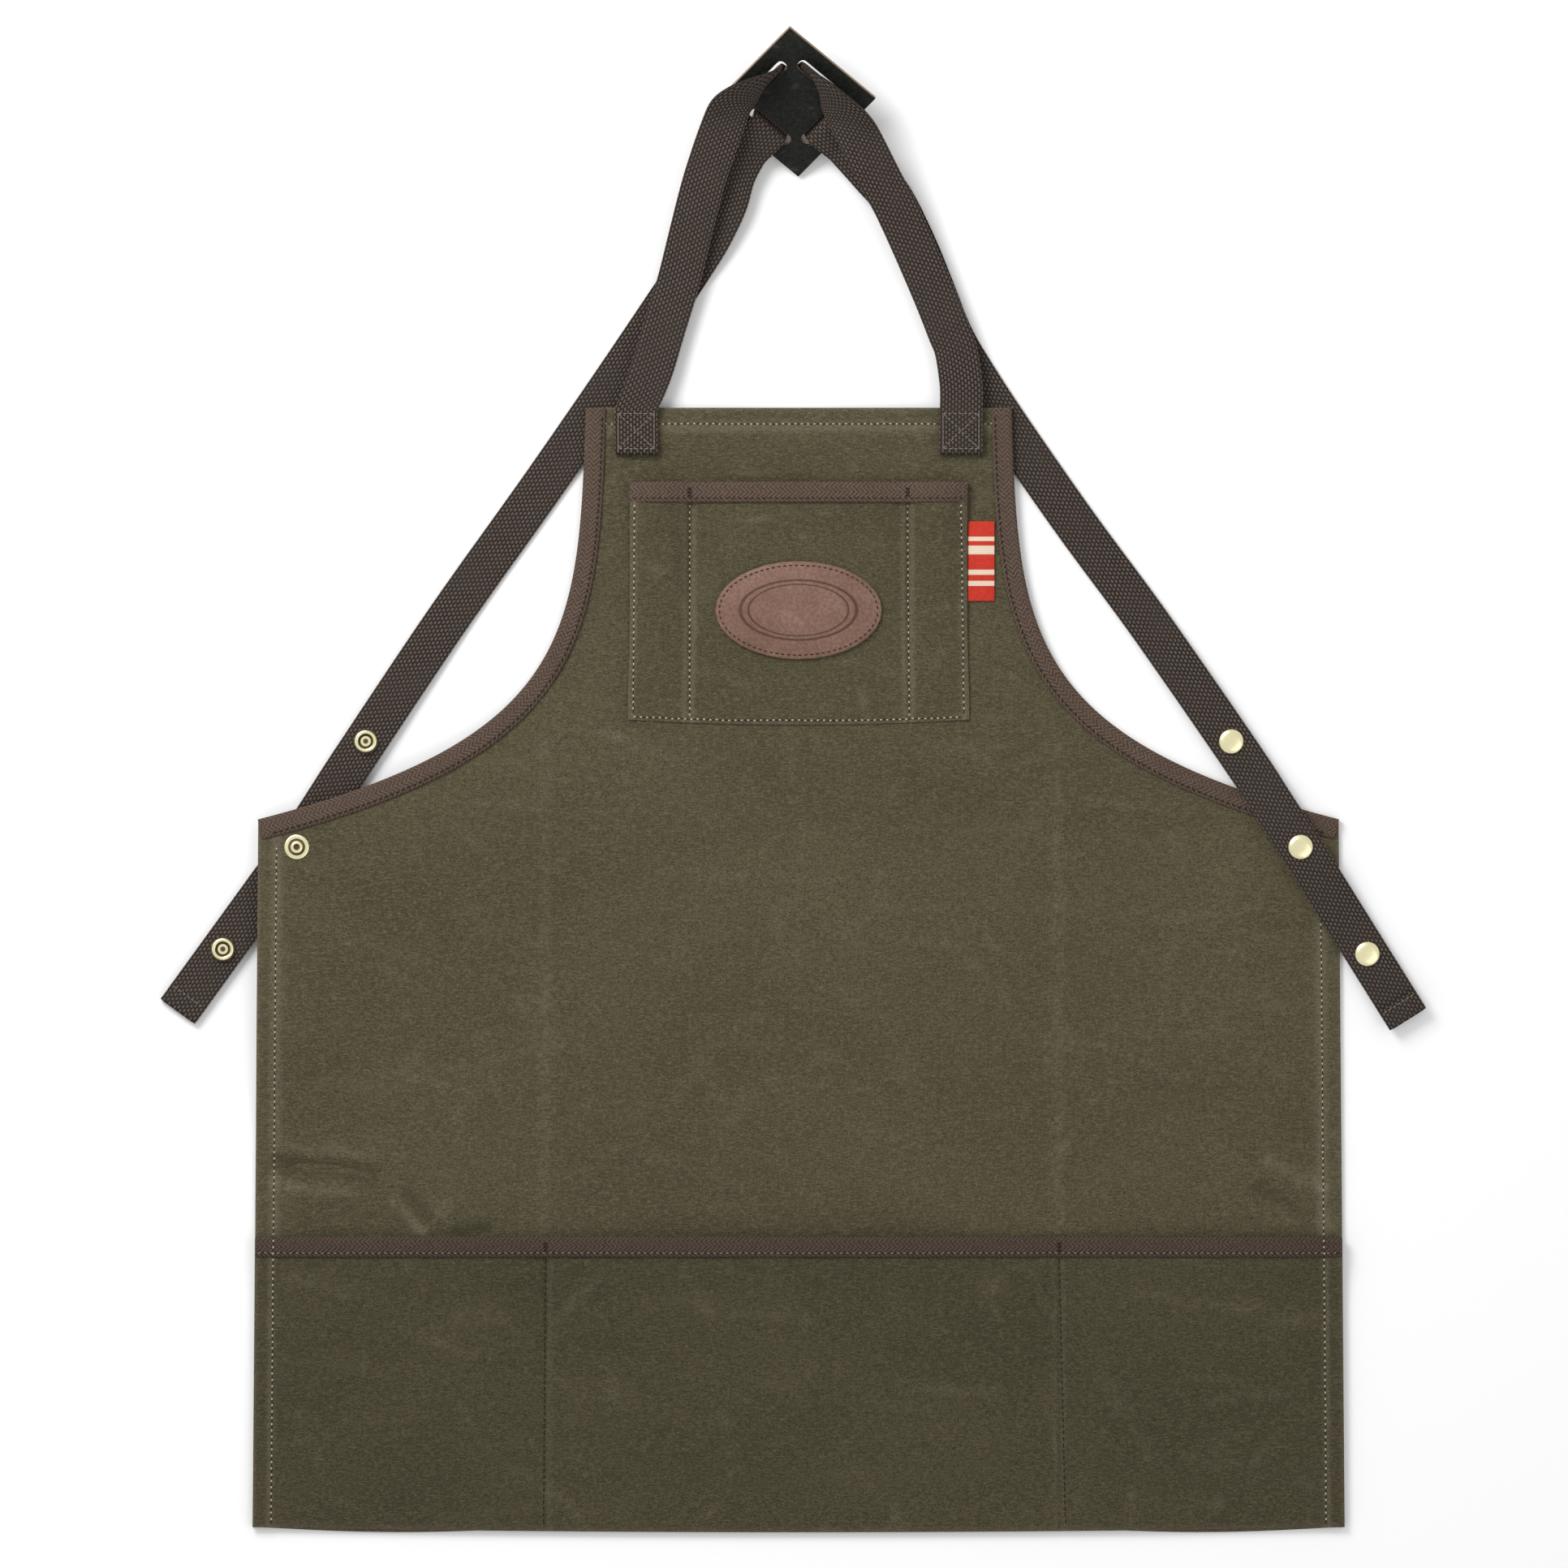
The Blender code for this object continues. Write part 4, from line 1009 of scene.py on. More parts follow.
def ribbon(stations, ribs):
    """Webbing through its stations, with softer selvedges and its own weave coordinates."""
    bm = bmesh.new()
    shares = [2 * index / ribs - 1 for index in range(ribs + 1)]
    rings, lengths = [], [0.0]
    last = len(stations) - 1
    for index, (centre, width) in enumerate(stations):
        before = stations[max(index - 1, 0)][0]
        after = stations[min(index + 1, last)][0]
        face = width.cross(after - before).normalized()
        if index:
            lengths.append(lengths[-1] + (centre - stations[index - 1][0]).length)
        across = width.normalized() * WEB_HALF
        ring = []
        for sign in (1, -1):
            for share in shares if sign > 0 else reversed(shares):
                thin = 0.62 if abs(share) == 1 else 1.0
                fray = 1.0 + 0.004 * noise.noise(Vector((lengths[-1] * 180, share, 7.0)))
                ring.append(bm.verts.new(centre + across * share * fray
                                         + face * sign * thin * WEB_THICKNESS / 2))
        rings.append(ring)
    count = len(rings[0])
    places = [share * WEB_HALF for share in shares]
    measure = places + [0.05 - place for place in reversed(places)] + [places[0]]
    skin_rings(bm, rings, lengths, measure)
    for ring in (rings[0], rings[-1]):
        for step in range(ribs):
            bm.faces.new((ring[step], ring[step + 1], ring[count - 2 - step],
                          ring[count - 1 - step]))
    return bm, lengths[-1]


class APRON_OT_straps(Operator):
    """Add the two webbing straps, from the bib through the keeper to their tails"""

    bl_idname = "apron.straps"
    bl_label = "Straps"

    def execute(self, context):
        sizes = settings()
        tails = routes()
        for side, word, table, below in ((-1, "left", FRONT_RUN_LEFT, PASS_UPPER),
                                         (1, "right", FRONT_RUN_RIGHT, PASS_LOWER)):
            stations = strap_stations(side, table, below, tails[-side])
            bm, length = ribbon(stations, sizes.web_ribs)
            made = link_mesh(f"webbing_{word}", bm, surface("webbing"),
                             (f"shoulder_strap_{word}",), angle=60.0)
        return {"FINISHED"}


# ---------------------------------------------------------------------------------------- snaps

SNAP_PROFILE = (
    (0.0, 1.00), (0.20, 0.995), (0.42, 0.965), (0.60, 0.90), (0.76, 0.78), (0.88, 0.60),
    (0.955, 0.42), (0.99, 0.27), (1.0, 0.14), (0.975, 0.0),
)
SOCKET_PROFILE = (
    (0.92, 0.0), (0.965, 0.06), (0.985, 0.18), (0.975, 0.34), (0.93, 0.50), (0.90, 0.66),
    (0.885, 0.82), (0.85, 0.94), (0.80, 1.0), (0.70, 1.0), (0.64, 0.96), (0.61, 0.88),
)


def spun(name, profile, place, surface_name, replaces, recess=None):
    """Spin a closed profile; recess is (side, hole, inner, outer) of its hole and groove,
    coloured dark as painted shade.
    """
    bm = bmesh.new()
    verts = [bm.verts.new((radius, 0.0, height)) for radius, height in profile]
    edges = [bm.edges.new(pair) for pair in zip(verts, verts[1:])]
    bmesh.ops.spin(bm, geom=verts + edges, cent=(0, 0, 0), axis=(0, 0, 1), angle=2 * math.pi,
                   steps=56, use_merge=True)
    bmesh.ops.remove_doubles(bm, verts=bm.verts[:], dist=1e-6)
    # Painted shade: the hole and the groove get the dark second material.
    if recess:
        side, hole, inner, outer = recess
        for face in bm.faces:
            middle = face.calc_center_median()
            radius = math.hypot(middle.x, middle.y)
            if middle.z * side > 0.0 and (radius < hole or inner < radius < outer):
                face.material_index = 1
    bmesh.ops.translate(bm, vec=place, verts=bm.verts[:])
    made = link_mesh(name, bm, surface(surface_name), replaces, angle=38.0)
    made.data.materials.append(surface("recess"))
    return made


class APRON_OT_snaps(Operator):
    """Add the brass snaps on the tails and the studs on the apron's corners"""

    bl_idname = "apron.snaps"
    bl_label = "Snaps and studs"

    def execute(self, context):
        tails = routes()
        face = WEB_THICKNESS / 2 + STRAP_GAP / 2
        for side, word in ((-1, "left"), (1, "right")):
            sign = 1.0 if side > 0 else -1.0
            for level, place in zip(("upper", "middle", "lower"), snap_points(side, tails[side])):
                cap = [(radius * SNAP_RADIUS, sign * (face + height * CAP_HEIGHT))
                       for radius, height in SNAP_PROFILE]
                socket = [(radius * SNAP_RADIUS, -sign * (face + height * SOCKET_HEIGHT))
                          for radius, height in SOCKET_PROFILE]
                floor = -sign * (face + STUD_FLANGE)
                spring = -sign * (face + STUD_FLANGE * 1.5)
                profile = cap + [(0.0022, sign * face), (0.0022, -sign * face)] + socket
                profile += [(SOCKET_BORE, floor), (0.0033, floor), (0.0030, spring),
                            (0.0015, spring), (0.0012, floor), (0.0, floor)]
                spun(f"brass_snap_{word}_{level}", profile, place, "brass",
                     (f"snap_{word}_{level}",), (-sign, 0.0015, 0.0031, SOCKET_BORE + 0.0001))
        body = node_tree("body_panel")
        for side, word in ((-1, "left"), (1, "right")):
            spot = stud_point(side)
            cloth = top_of(body, spot.x - 0.004, spot.y, 0.0025)
            under = bottom_of(body, spot.x - 0.004, spot.y, 0.0)
            base = cloth + STRAP_GAP / 2
            knob = base + STUD_FLANGE + STUD_KNOB
            profile = (
                (0.0, knob - 0.0016), (0.0012, knob - 0.0016), (0.0016, knob - 0.0010),
                (0.0019, knob - 0.0001), (0.0026, knob), (0.0032, knob - 0.0002),
                (STUD_RADIUS, knob - 0.0007), (STUD_RADIUS * 0.98, knob - 0.0012),
                (0.0031, knob - 0.0018), (0.0031, base + STUD_FLANGE),
                (0.0050, base + STUD_FLANGE * 0.9), (0.0064, base + STUD_FLANGE),
                (0.0071, base + STUD_FLANGE * 0.7), (SNAP_RADIUS, base), (0.0022, base),
                (0.0022, under - STRAP_GAP), (0.0050, under - STRAP_GAP),
                (0.0051, under - STRAP_GAP - STUD_FLANGE * 0.7),
                (0.0046, under - STRAP_GAP - STUD_FLANGE), (0.0, under - STRAP_GAP - STUD_FLANGE),
            )
            spun(f"brass_stud_{word}", profile, Vector((spot.x, spot.y, 0.0)), "brass",
                 (f"stud_{word}",), (1.0, 0.0015, 0.0036, 0.0046))
        return {"FINISHED"}


# ------------------------------------------------------------------------------------- materials

class Nodes:
    """A material's node tree, with short calls for its usual nodes."""

    def __init__(self, name, roughness, metallic=0.0):
        self.material = bpy.data.materials.new(name)
        self.material.use_nodes = True
        self.tree = self.material.node_tree
        self.shader = self.tree.nodes["Principled BSDF"]
        self.shader.inputs["Roughness"].default_value = roughness
        self.shader.inputs["Metallic"].default_value = metallic
        if not metallic:
            self.shader.inputs["Specular IOR Level"].default_value = 0.15
        self.place = self.tree.nodes.new("ShaderNodeTexCoord").outputs["Object"]

    def link(self, source, target):
        if hasattr(source, "is_linked"):
            self.tree.links.new(source, target)
        else:
            target.default_value = source

    def math(self, kind, first, second=0.0, third=0.0):
        node = self.tree.nodes.new("ShaderNodeMath")
        node.operation = kind
        for socket, value in zip(node.inputs, (first, second, third)):
            self.link(value, socket)
        return node.outputs[0]

    def noise(self, scale, detail=3.0, stretch=(1.0, 1.0, 1.0), place=None):
        mapping = self.tree.nodes.new("ShaderNodeMapping")
        mapping.inputs["Scale"].default_value = stretch
        self.tree.links.new(place or self.place, mapping.inputs["Vector"])
        node = self.tree.nodes.new("ShaderNodeTexNoise")
        node.inputs["Scale"].default_value = scale
        node.inputs["Detail"].default_value = detail
        self.tree.links.new(mapping.outputs[0], node.inputs["Vector"])
        return node.outputs["Fac"]

    def ramp(self, value, low, high, low_out=0.0, high_out=1.0):
        node = self.tree.nodes.new("ShaderNodeMapRange")
        self.link(value, node.inputs["Value"])
        for key, number in (("From Min", low), ("From Max", high), ("To Min", low_out),
                            ("To Max", high_out)):
            node.inputs[key].default_value = number
        return node.outputs[0]

    def mix(self, share, first, second):
        node = self.tree.nodes.new("ShaderNodeMix")
        node.data_type = "RGBA"
        self.link(share, node.inputs[0])
        for value, socket in ((first, node.inputs[6]), (second, node.inputs[7])):
            if hasattr(value, "is_linked"):
                self.tree.links.new(value, socket)
            else:
                socket.default_value = (*value, 1.0)
        return node.outputs[2]

    def axes(self, source=None):
        node = self.tree.nodes.new("ShaderNodeSeparateXYZ")
        self.tree.links.new(source or self.place, node.inputs[0])
        return node.outputs

    def weave(self):
        node = self.tree.nodes.new("ShaderNodeUVMap")
        node.uv_map = "weave"
        return node.outputs[0]

    def attribute(self, name):
        node = self.tree.nodes.new("ShaderNodeAttribute")
        node.attribute_name = name
        return node.outputs["Fac"]

    def bump(self, height, distance, strength=1.0):
        node = self.tree.nodes.new("ShaderNodeBump")
        node.inputs["Distance"].default_value = distance
        node.inputs["Strength"].default_value = strength
        self.link(height, node.inputs["Height"])
        self.tree.links.new(node.outputs[0], self.shader.inputs["Normal"])

    def colour(self, value):
        self.link(value, self.shader.inputs["Base Color"])


def shade(colour, share):
    return tuple(min(channel * share, 1.0) for channel in colour)


def canvas_surface(name, colour):
    """Waxed canvas: a plain weave, mottled wax, pale rubbed creases and painted shade in its
    folds.
    """
    made = Nodes(name, 0.72)
    x, y, _ = made.axes()
    warp = made.math("SINE", made.math("MULTIPLY", x, 2 * math.pi / 0.00160))
    weft = made.math("SINE", made.math("MULTIPLY", y, 2 * math.pi / 0.00145))
    cells = made.math("MULTIPLY", warp, weft)
    slub = made.noise(260.0, 3.0, (1.0, 3.4, 1.0))
    slub_up = made.noise(260.0, 3.0, (3.4, 1.0, 1.0))
    grain = made.noise(1150.0, 2.0, (1.0, 1.25, 1.0))
    speck = made.noise(900.0, 1.0, (0.55, 1.5, 1.0))
    cloud = made.noise(7.0, 5.0, (0.8, 1.5, 1.0))
    haze = made.noise(90.0, 4.0, (0.5, 1.4, 1.0))
    smudge = made.noise(34.0, 3.0, (0.40, 1.5, 1.0))
    base = made.mix(made.ramp(cloud, 0.34, 0.66), shade(colour, 0.78), shade(colour, 1.21))
    base = made.mix(made.ramp(haze, 0.35, 0.70, 0.0, 0.30), base, shade(colour, 1.35))
    base = made.mix(made.ramp(grain, 0.38, 0.58, 0.0, 1.0), shade(colour, 0.46), base)
    base = made.mix(made.ramp(speck, 0.54, 0.70, 0.0, 0.70), base, shade(colour, 1.80))
    base = made.mix(made.ramp(cells, 0.10, 0.95, 0.0, 0.34), base, shade(colour, 1.75))
    base = made.mix(made.ramp(cells, -0.10, -0.95, 0.0, 0.36), base, shade(colour, 0.50))
    lines = made.math("MULTIPLY", made.ramp(slub, 0.45, 0.72), made.ramp(slub_up, 0.30, 0.60))
    base = made.mix(made.math("MULTIPLY", lines, 0.55), base, shade(colour, 2.0))
    base = made.mix(made.ramp(smudge, 0.60, 0.78, 0.0, 0.26), base, shade(colour, 1.65))
    # Painted shade: where the wear attribute is negative, in the folds, the cloth is darkened.
    rubbed = made.attribute("wear")
    base = made.mix(made.ramp(rubbed, 0.0, -0.9, 0.0, 0.60), base, shade(colour, 0.48))
    worn = made.math("MULTIPLY", made.math("MAXIMUM", rubbed, 0.0),
                     made.ramp(grain, 0.34, 0.62, 0.45, 1.0))
    base = made.mix(made.math("MULTIPLY", worn, 0.82), base, (0.235, 0.200, 0.145))
    made.colour(base)
    height = made.math("ADD", made.math("MULTIPLY", cells, 0.5), made.math("ADD", grain, slub))
    made.bump(height, 0.00022, 0.75)
    made.shader.inputs["Specular IOR Level"].default_value = 0.12
    return made.material


def tape_surface(name, colour):
    """Herringbone twill tape: slanted ribs that turn back in each lane."""
    made = Nodes(name, 0.84)
    grain = made.weave()
    along, across, _ = made.axes(grain)
    lane = made.math("PINGPONG", across, 0.0030)
    slant = made.math("ADD", along, made.math("MULTIPLY", lane, 1.1))
    ribs = made.math("SINE", made.math("MULTIPLY", slant, 2 * math.pi / 0.0027))
    mottle = made.noise(900.0, 2.0)
    broad = made.noise(60.0, 3.0)
    tone = made.math("ADD", made.ramp(ribs, -1.0, 1.0, 0.0, 0.62), made.ramp(mottle, 0.35, 0.65,
                                                                            0.0, 0.38))
    base = made.mix(tone, shade(colour, 0.38), shade(colour, 1.62))
    base = made.mix(made.ramp(broad, 0.3, 0.7, 0.0, 0.35), base, shade(colour, 0.82))
    made.colour(base)
    made.bump(made.math("ADD", ribs, mottle), 0.00022, 0.8)
    return made.material


def webbing_surface(colour):
    """Cotton webbing: columns of short yarns, staggered from one column to the next."""
    made = Nodes("webbing", 0.86)
    along, across, _ = made.axes(made.weave())
    column = made.math("DIVIDE", across, 0.00192)
    stagger = made.math("MULTIPLY", made.math("FLOOR", column), 0.5)
    row = made.math("ADD", made.math("DIVIDE", along, 0.0030), stagger)
    yarn = made.math("ABSOLUTE", made.math("SINE", made.math("MULTIPLY", column, math.pi)))
    beat = made.math("ABSOLUTE", made.math("SINE", made.math("MULTIPLY", row, math.pi)))
    cells = made.math("MULTIPLY", yarn, beat)
    mottle = made.noise(700.0, 2.0)
    broad = made.noise(45.0, 3.0)
    tone = made.math("MULTIPLY", made.ramp(cells, 0.22, 0.72), made.ramp(mottle, 0.30, 0.62, 0.55,
                                                                        1.0))
    base = made.mix(tone, shade(colour, 0.26), shade(colour, 2.05))
    base = made.mix(made.ramp(broad, 0.35, 0.7, 0.0, 0.30), base, shade(colour, 0.80))
    made.colour(base)
    made.bump(cells, 0.00042, 0.9)
    return made.material


def keeper_surface():
    """Dark keeper leather with raw tan edges and a few scuffs."""
    made = Nodes("keeper_leather", 0.58)
    normal = made.tree.nodes.new("ShaderNodeNewGeometry").outputs["Normal"]
    facing = made.tree.nodes.new("ShaderNodeVectorMath")
    facing.operation = "DOT_PRODUCT"
    made.tree.links.new(normal, facing.inputs[0])
    facing.inputs[1].default_value = keeper_frame().to_3x3() @ Vector((0, 0, 1))
    flat = made.math("ABSOLUTE", facing.outputs["Value"])
    pebble = made.noise(620.0, 4.0)
    scuff = made.noise(90.0, 5.0, (1.0, 2.2, 1.0))
    face = made.mix(made.ramp(pebble, 0.35, 0.68), (0.005, 0.006, 0.005), (0.015, 0.016, 0.012))
    face = made.mix(made.ramp(scuff, 0.60, 0.72, 0.0, 0.45), face, (0.050, 0.058, 0.056))
    edge = made.mix(made.noise(420.0, 3.0), (0.14, 0.088, 0.056), (0.32, 0.22, 0.145))
    made.colour(made.mix(made.ramp(flat, 0.80, 0.96), edge, face))
    made.bump(pebble, 0.00025, 0.55)
    return made.material


def patch_surface(centre):
    """Natural leather with a pressed border and an oval ring."""
    made = Nodes("patch_leather", 0.60)
    x, y, _ = made.axes()
    dx = made.math("SUBTRACT", x, centre.x)
    dy = made.math("SUBTRACT", y, centre.y)
    wide = made.math("POWER", made.math("DIVIDE", dx, 0.034), 2.0)
    tall = made.math("POWER", made.math("DIVIDE", dy, 0.0175), 2.0)
    oval = made.math("SQRT", made.math("ADD", wide, tall))
    ring = made.math("ABSOLUTE", made.math("SUBTRACT", oval, 1.0))
    groove = made.ramp(ring, 0.018, 0.042, 1.0, 0.0)
    inside = made.math("ABSOLUTE", made.math("SUBTRACT", oval, 0.86))
    inner = made.ramp(inside, 0.010, 0.026, 1.0, 0.0)
    pressed = made.math("MAXIMUM", groove, inner)
    pores = made.noise(560.0, 5.0)
    cloud = made.noise(42.0, 4.0)
    base = made.mix(made.ramp(cloud, 0.3, 0.7), (0.188, 0.106, 0.078), (0.246, 0.150, 0.114))
    base = made.mix(made.ramp(pores, 0.42, 0.66, 0.40, 0.0), base, (0.080, 0.036, 0.024))
    made.colour(made.mix(made.math("MULTIPLY", pressed, 0.72), base, (0.050, 0.022, 0.015)))
    made.bump(made.math("SUBTRACT", pores, made.math("MULTIPLY", pressed, 2.0)), 0.00022, 0.6)
    return made.material


def label_surface(low_y, high_y):
    """Red woven label with plain cream bars across it."""
    made = Nodes("label_weave", 0.74)
    y = made.axes()[1]
    share = made.ramp(y, low_y, high_y)
    ribs = made.math("SINE", made.math("MULTIPLY", y, 2 * math.pi / 0.0009))
    bars = 0.0
    for spot, reach in ((0.22, 0.035), (0.36, 0.035), (0.64, 0.060), (0.78, 0.030)):
        near = made.math("ABSOLUTE", made.math("SUBTRACT", share, spot))
        bars = made.math("MAXIMUM", bars, made.ramp(near, reach * 0.8, reach, 1.0, 0.0))
    base = made.mix(made.noise(500.0, 2.0), (0.40, 0.022, 0.014), (0.62, 0.048, 0.026))
    made.colour(made.mix(bars, base, (0.70, 0.58, 0.44)))
    made.bump(ribs, 0.00012, 0.6)
    return made.material


def brass_surface(colour):
    made = Nodes("brass", 0.26, 1.0)
    wear = made.noise(300.0, 4.0)
    made.colour(made.mix(made.ramp(wear, 0.35, 0.7), colour, shade(colour, 0.90)))
    made.link(made.ramp(wear, 0.3, 0.7, 0.20, 0.36), made.shader.inputs["Roughness"])
    return made.material


def thread_surface(name, colour):
    made = Nodes(name, 0.70)
    twist = made.noise(1400.0, 2.0)
    made.colour(made.mix(twist, shade(colour, 0.65), shade(colour, 1.35)))
    return made.material


# Maker, colour setting and brightness share of each cloth
CLOTHS = {
    "canvas": (canvas_surface, "canvas_colour", 1.0),
    "pocket": (canvas_surface, "pocket_colour", 1.0),
    "bib": (canvas_surface, "canvas_colour", 0.94),
    "tape": (tape_surface, "tape_colour", 1.03),
    "tape_dark": (tape_surface, "tape_colour", 0.72),
}
THREADS = {
    # Dark brass colour of the snaps' holes and grooves: painted shade.
    "recess": (0.095, 0.068, 0.030),
    "dark_thread": (0.020, 0.015, 0.010),
    "worn_thread": (0.400, 0.360, 0.270),
    "pale_thread": (0.190, 0.168, 0.135),
}


def surface(name):
    """The named material, made the first time that it is asked for."""
    found = bpy.data.materials.get(f"apron_{name}")
    if found:
        return found
    sizes = settings()
    if name in CLOTHS:
        maker, colour, share = CLOTHS[name]
        made = maker(name, shade(getattr(sizes, colour), share))
    elif name in THREADS:
        made = thread_surface(name, THREADS[name])
    elif name == "webbing":
        made = webbing_surface(tuple(sizes.web_colour))
    elif name == "keeper":
        made = keeper_surface()
    elif name == "patch":
        low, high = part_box("leather_patch")
        made = patch_surface((Vector(low) + Vector(high)) / 2)
    elif name == "label":
        low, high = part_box("side_label")
        made = label_surface(low[1], high[1])
    elif name == "brass":
        made = brass_surface(tuple(sizes.brass_colour))
    else:
        raise RuntimeError(f"no material is called {name}")
    made.name = f"apron_{name}"
    return made


# ----------------------------------------------------------------------- leather, label, stitches

def refined(name, node, surface_name, offset):
    """A welded, softened copy of a rigid CAD piece."""
    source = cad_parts[node]
    bm = bmesh.new()
    bm.from_mesh(source.data)
    bmesh.ops.remove_doubles(bm, verts=bm.verts[:], dist=2e-6)
    bmesh.ops.dissolve_limit(bm, angle_limit=math.radians(2.0), verts=bm.verts[:],
                             edges=bm.edges[:])
    sharp = [edge for edge in bm.edges
             if edge.is_manifold and edge.calc_face_angle(0.0) > math.radians(50)]
    bmesh.ops.bevel(bm, geom=sharp, offset=offset, segments=2, profile=0.5, material=-1,
                    affect="EDGES", clamp_overlap=True)
    bmesh.ops.triangulate(bm, faces=bm.faces[:])
    return link_mesh(name, bm, surface(surface_name), (node,), angle=45.0)


class APRON_OT_leather(Operator):
    """Add the strap keeper, the bib pocket's patch and the side label"""

    bl_idname = "apron.leather"
    bl_label = "Leather and label"

    def execute(self, context):
        refined("keeper_plate", "leather_keeper", "keeper", 0.00045)
        refined("patch_plate", "leather_patch", "patch", 0.00040)
        label = refined("label_loop", "side_label", "label", 0.00020)
        return {"FINISHED"}


def along_line(points, step, phase):
    """Evenly spaced points and directions along a plan line."""
    made = []
    carry = step * phase
    for start, end in zip(points, points[1:]):
        start, end = Vector(start), Vector(end)
        length = (end - start).length
        if length < 1e-6:
            continue
        direction = (end - start) / length
        while carry <= length:
            made.append((start + direction * carry, direction))
            carry += step
        carry -= length
    return made


def stitch_rows(bm, lines, trees, length, gap, radius=0.00034, jitter=0.00012, phase=0.5):
    """Add one rounded thread loop for each stitch of the lines, seated on the cloth."""
    for number, line in enumerate(lines):
        for index, (spot, direction) in enumerate(along_line(line, length + gap, phase)):
            ends = []
            for reach in (-length * 0.32, 0.0, length * 0.32):
                point = spot + direction * reach
                heights = [top_of(tree, point.x, point.y, -1.0) for tree in trees]
                ends.append(max(heights))
            if min(ends) < -0.5:
                continue
            wander = jitter * noise.noise(Vector((index * 1.7, number * 3.1, 4.0)))
            side = Vector((-direction.y, direction.x)) * wander
            run = Vector((direction.x * length * 0.64, direction.y * length * 0.64,
                          ends[2] - ends[0])).normalized()
            across = Vector((-direction.y, direction.x, 0.0))
            up = run.cross(across)
            centre = Vector((spot.x + side.x, spot.y + side.y, ends[1] + radius * 0.30))
            turn = Matrix((run, across, up)).transposed().to_4x4()
            place = Matrix.Translation(centre) @ turn @ Matrix.Diagonal(
                (length / 2, radius, radius, 1.0))
            bmesh.ops.create_uvsphere(bm, u_segments=6, v_segments=5, radius=1.0,
                                      matrix=place @ Matrix.Rotation(math.pi / 2, 4, "Y"))


def hem_line(side):
    return [(side * (half_width(y) - SIDE_HEM), y)
            for y in ramp_list((-0.016, 0.01), (-SKIRT_LENGTH + 0.002, 0.0))]


def armhole_line(side):
    points = []
    for index in range(81):
        point, inward = armhole_edge(0.012 + 0.976 * index / 80)
        spot = point + inward * 0.0088
        points.append((side * spot.x, spot.y))
    return points


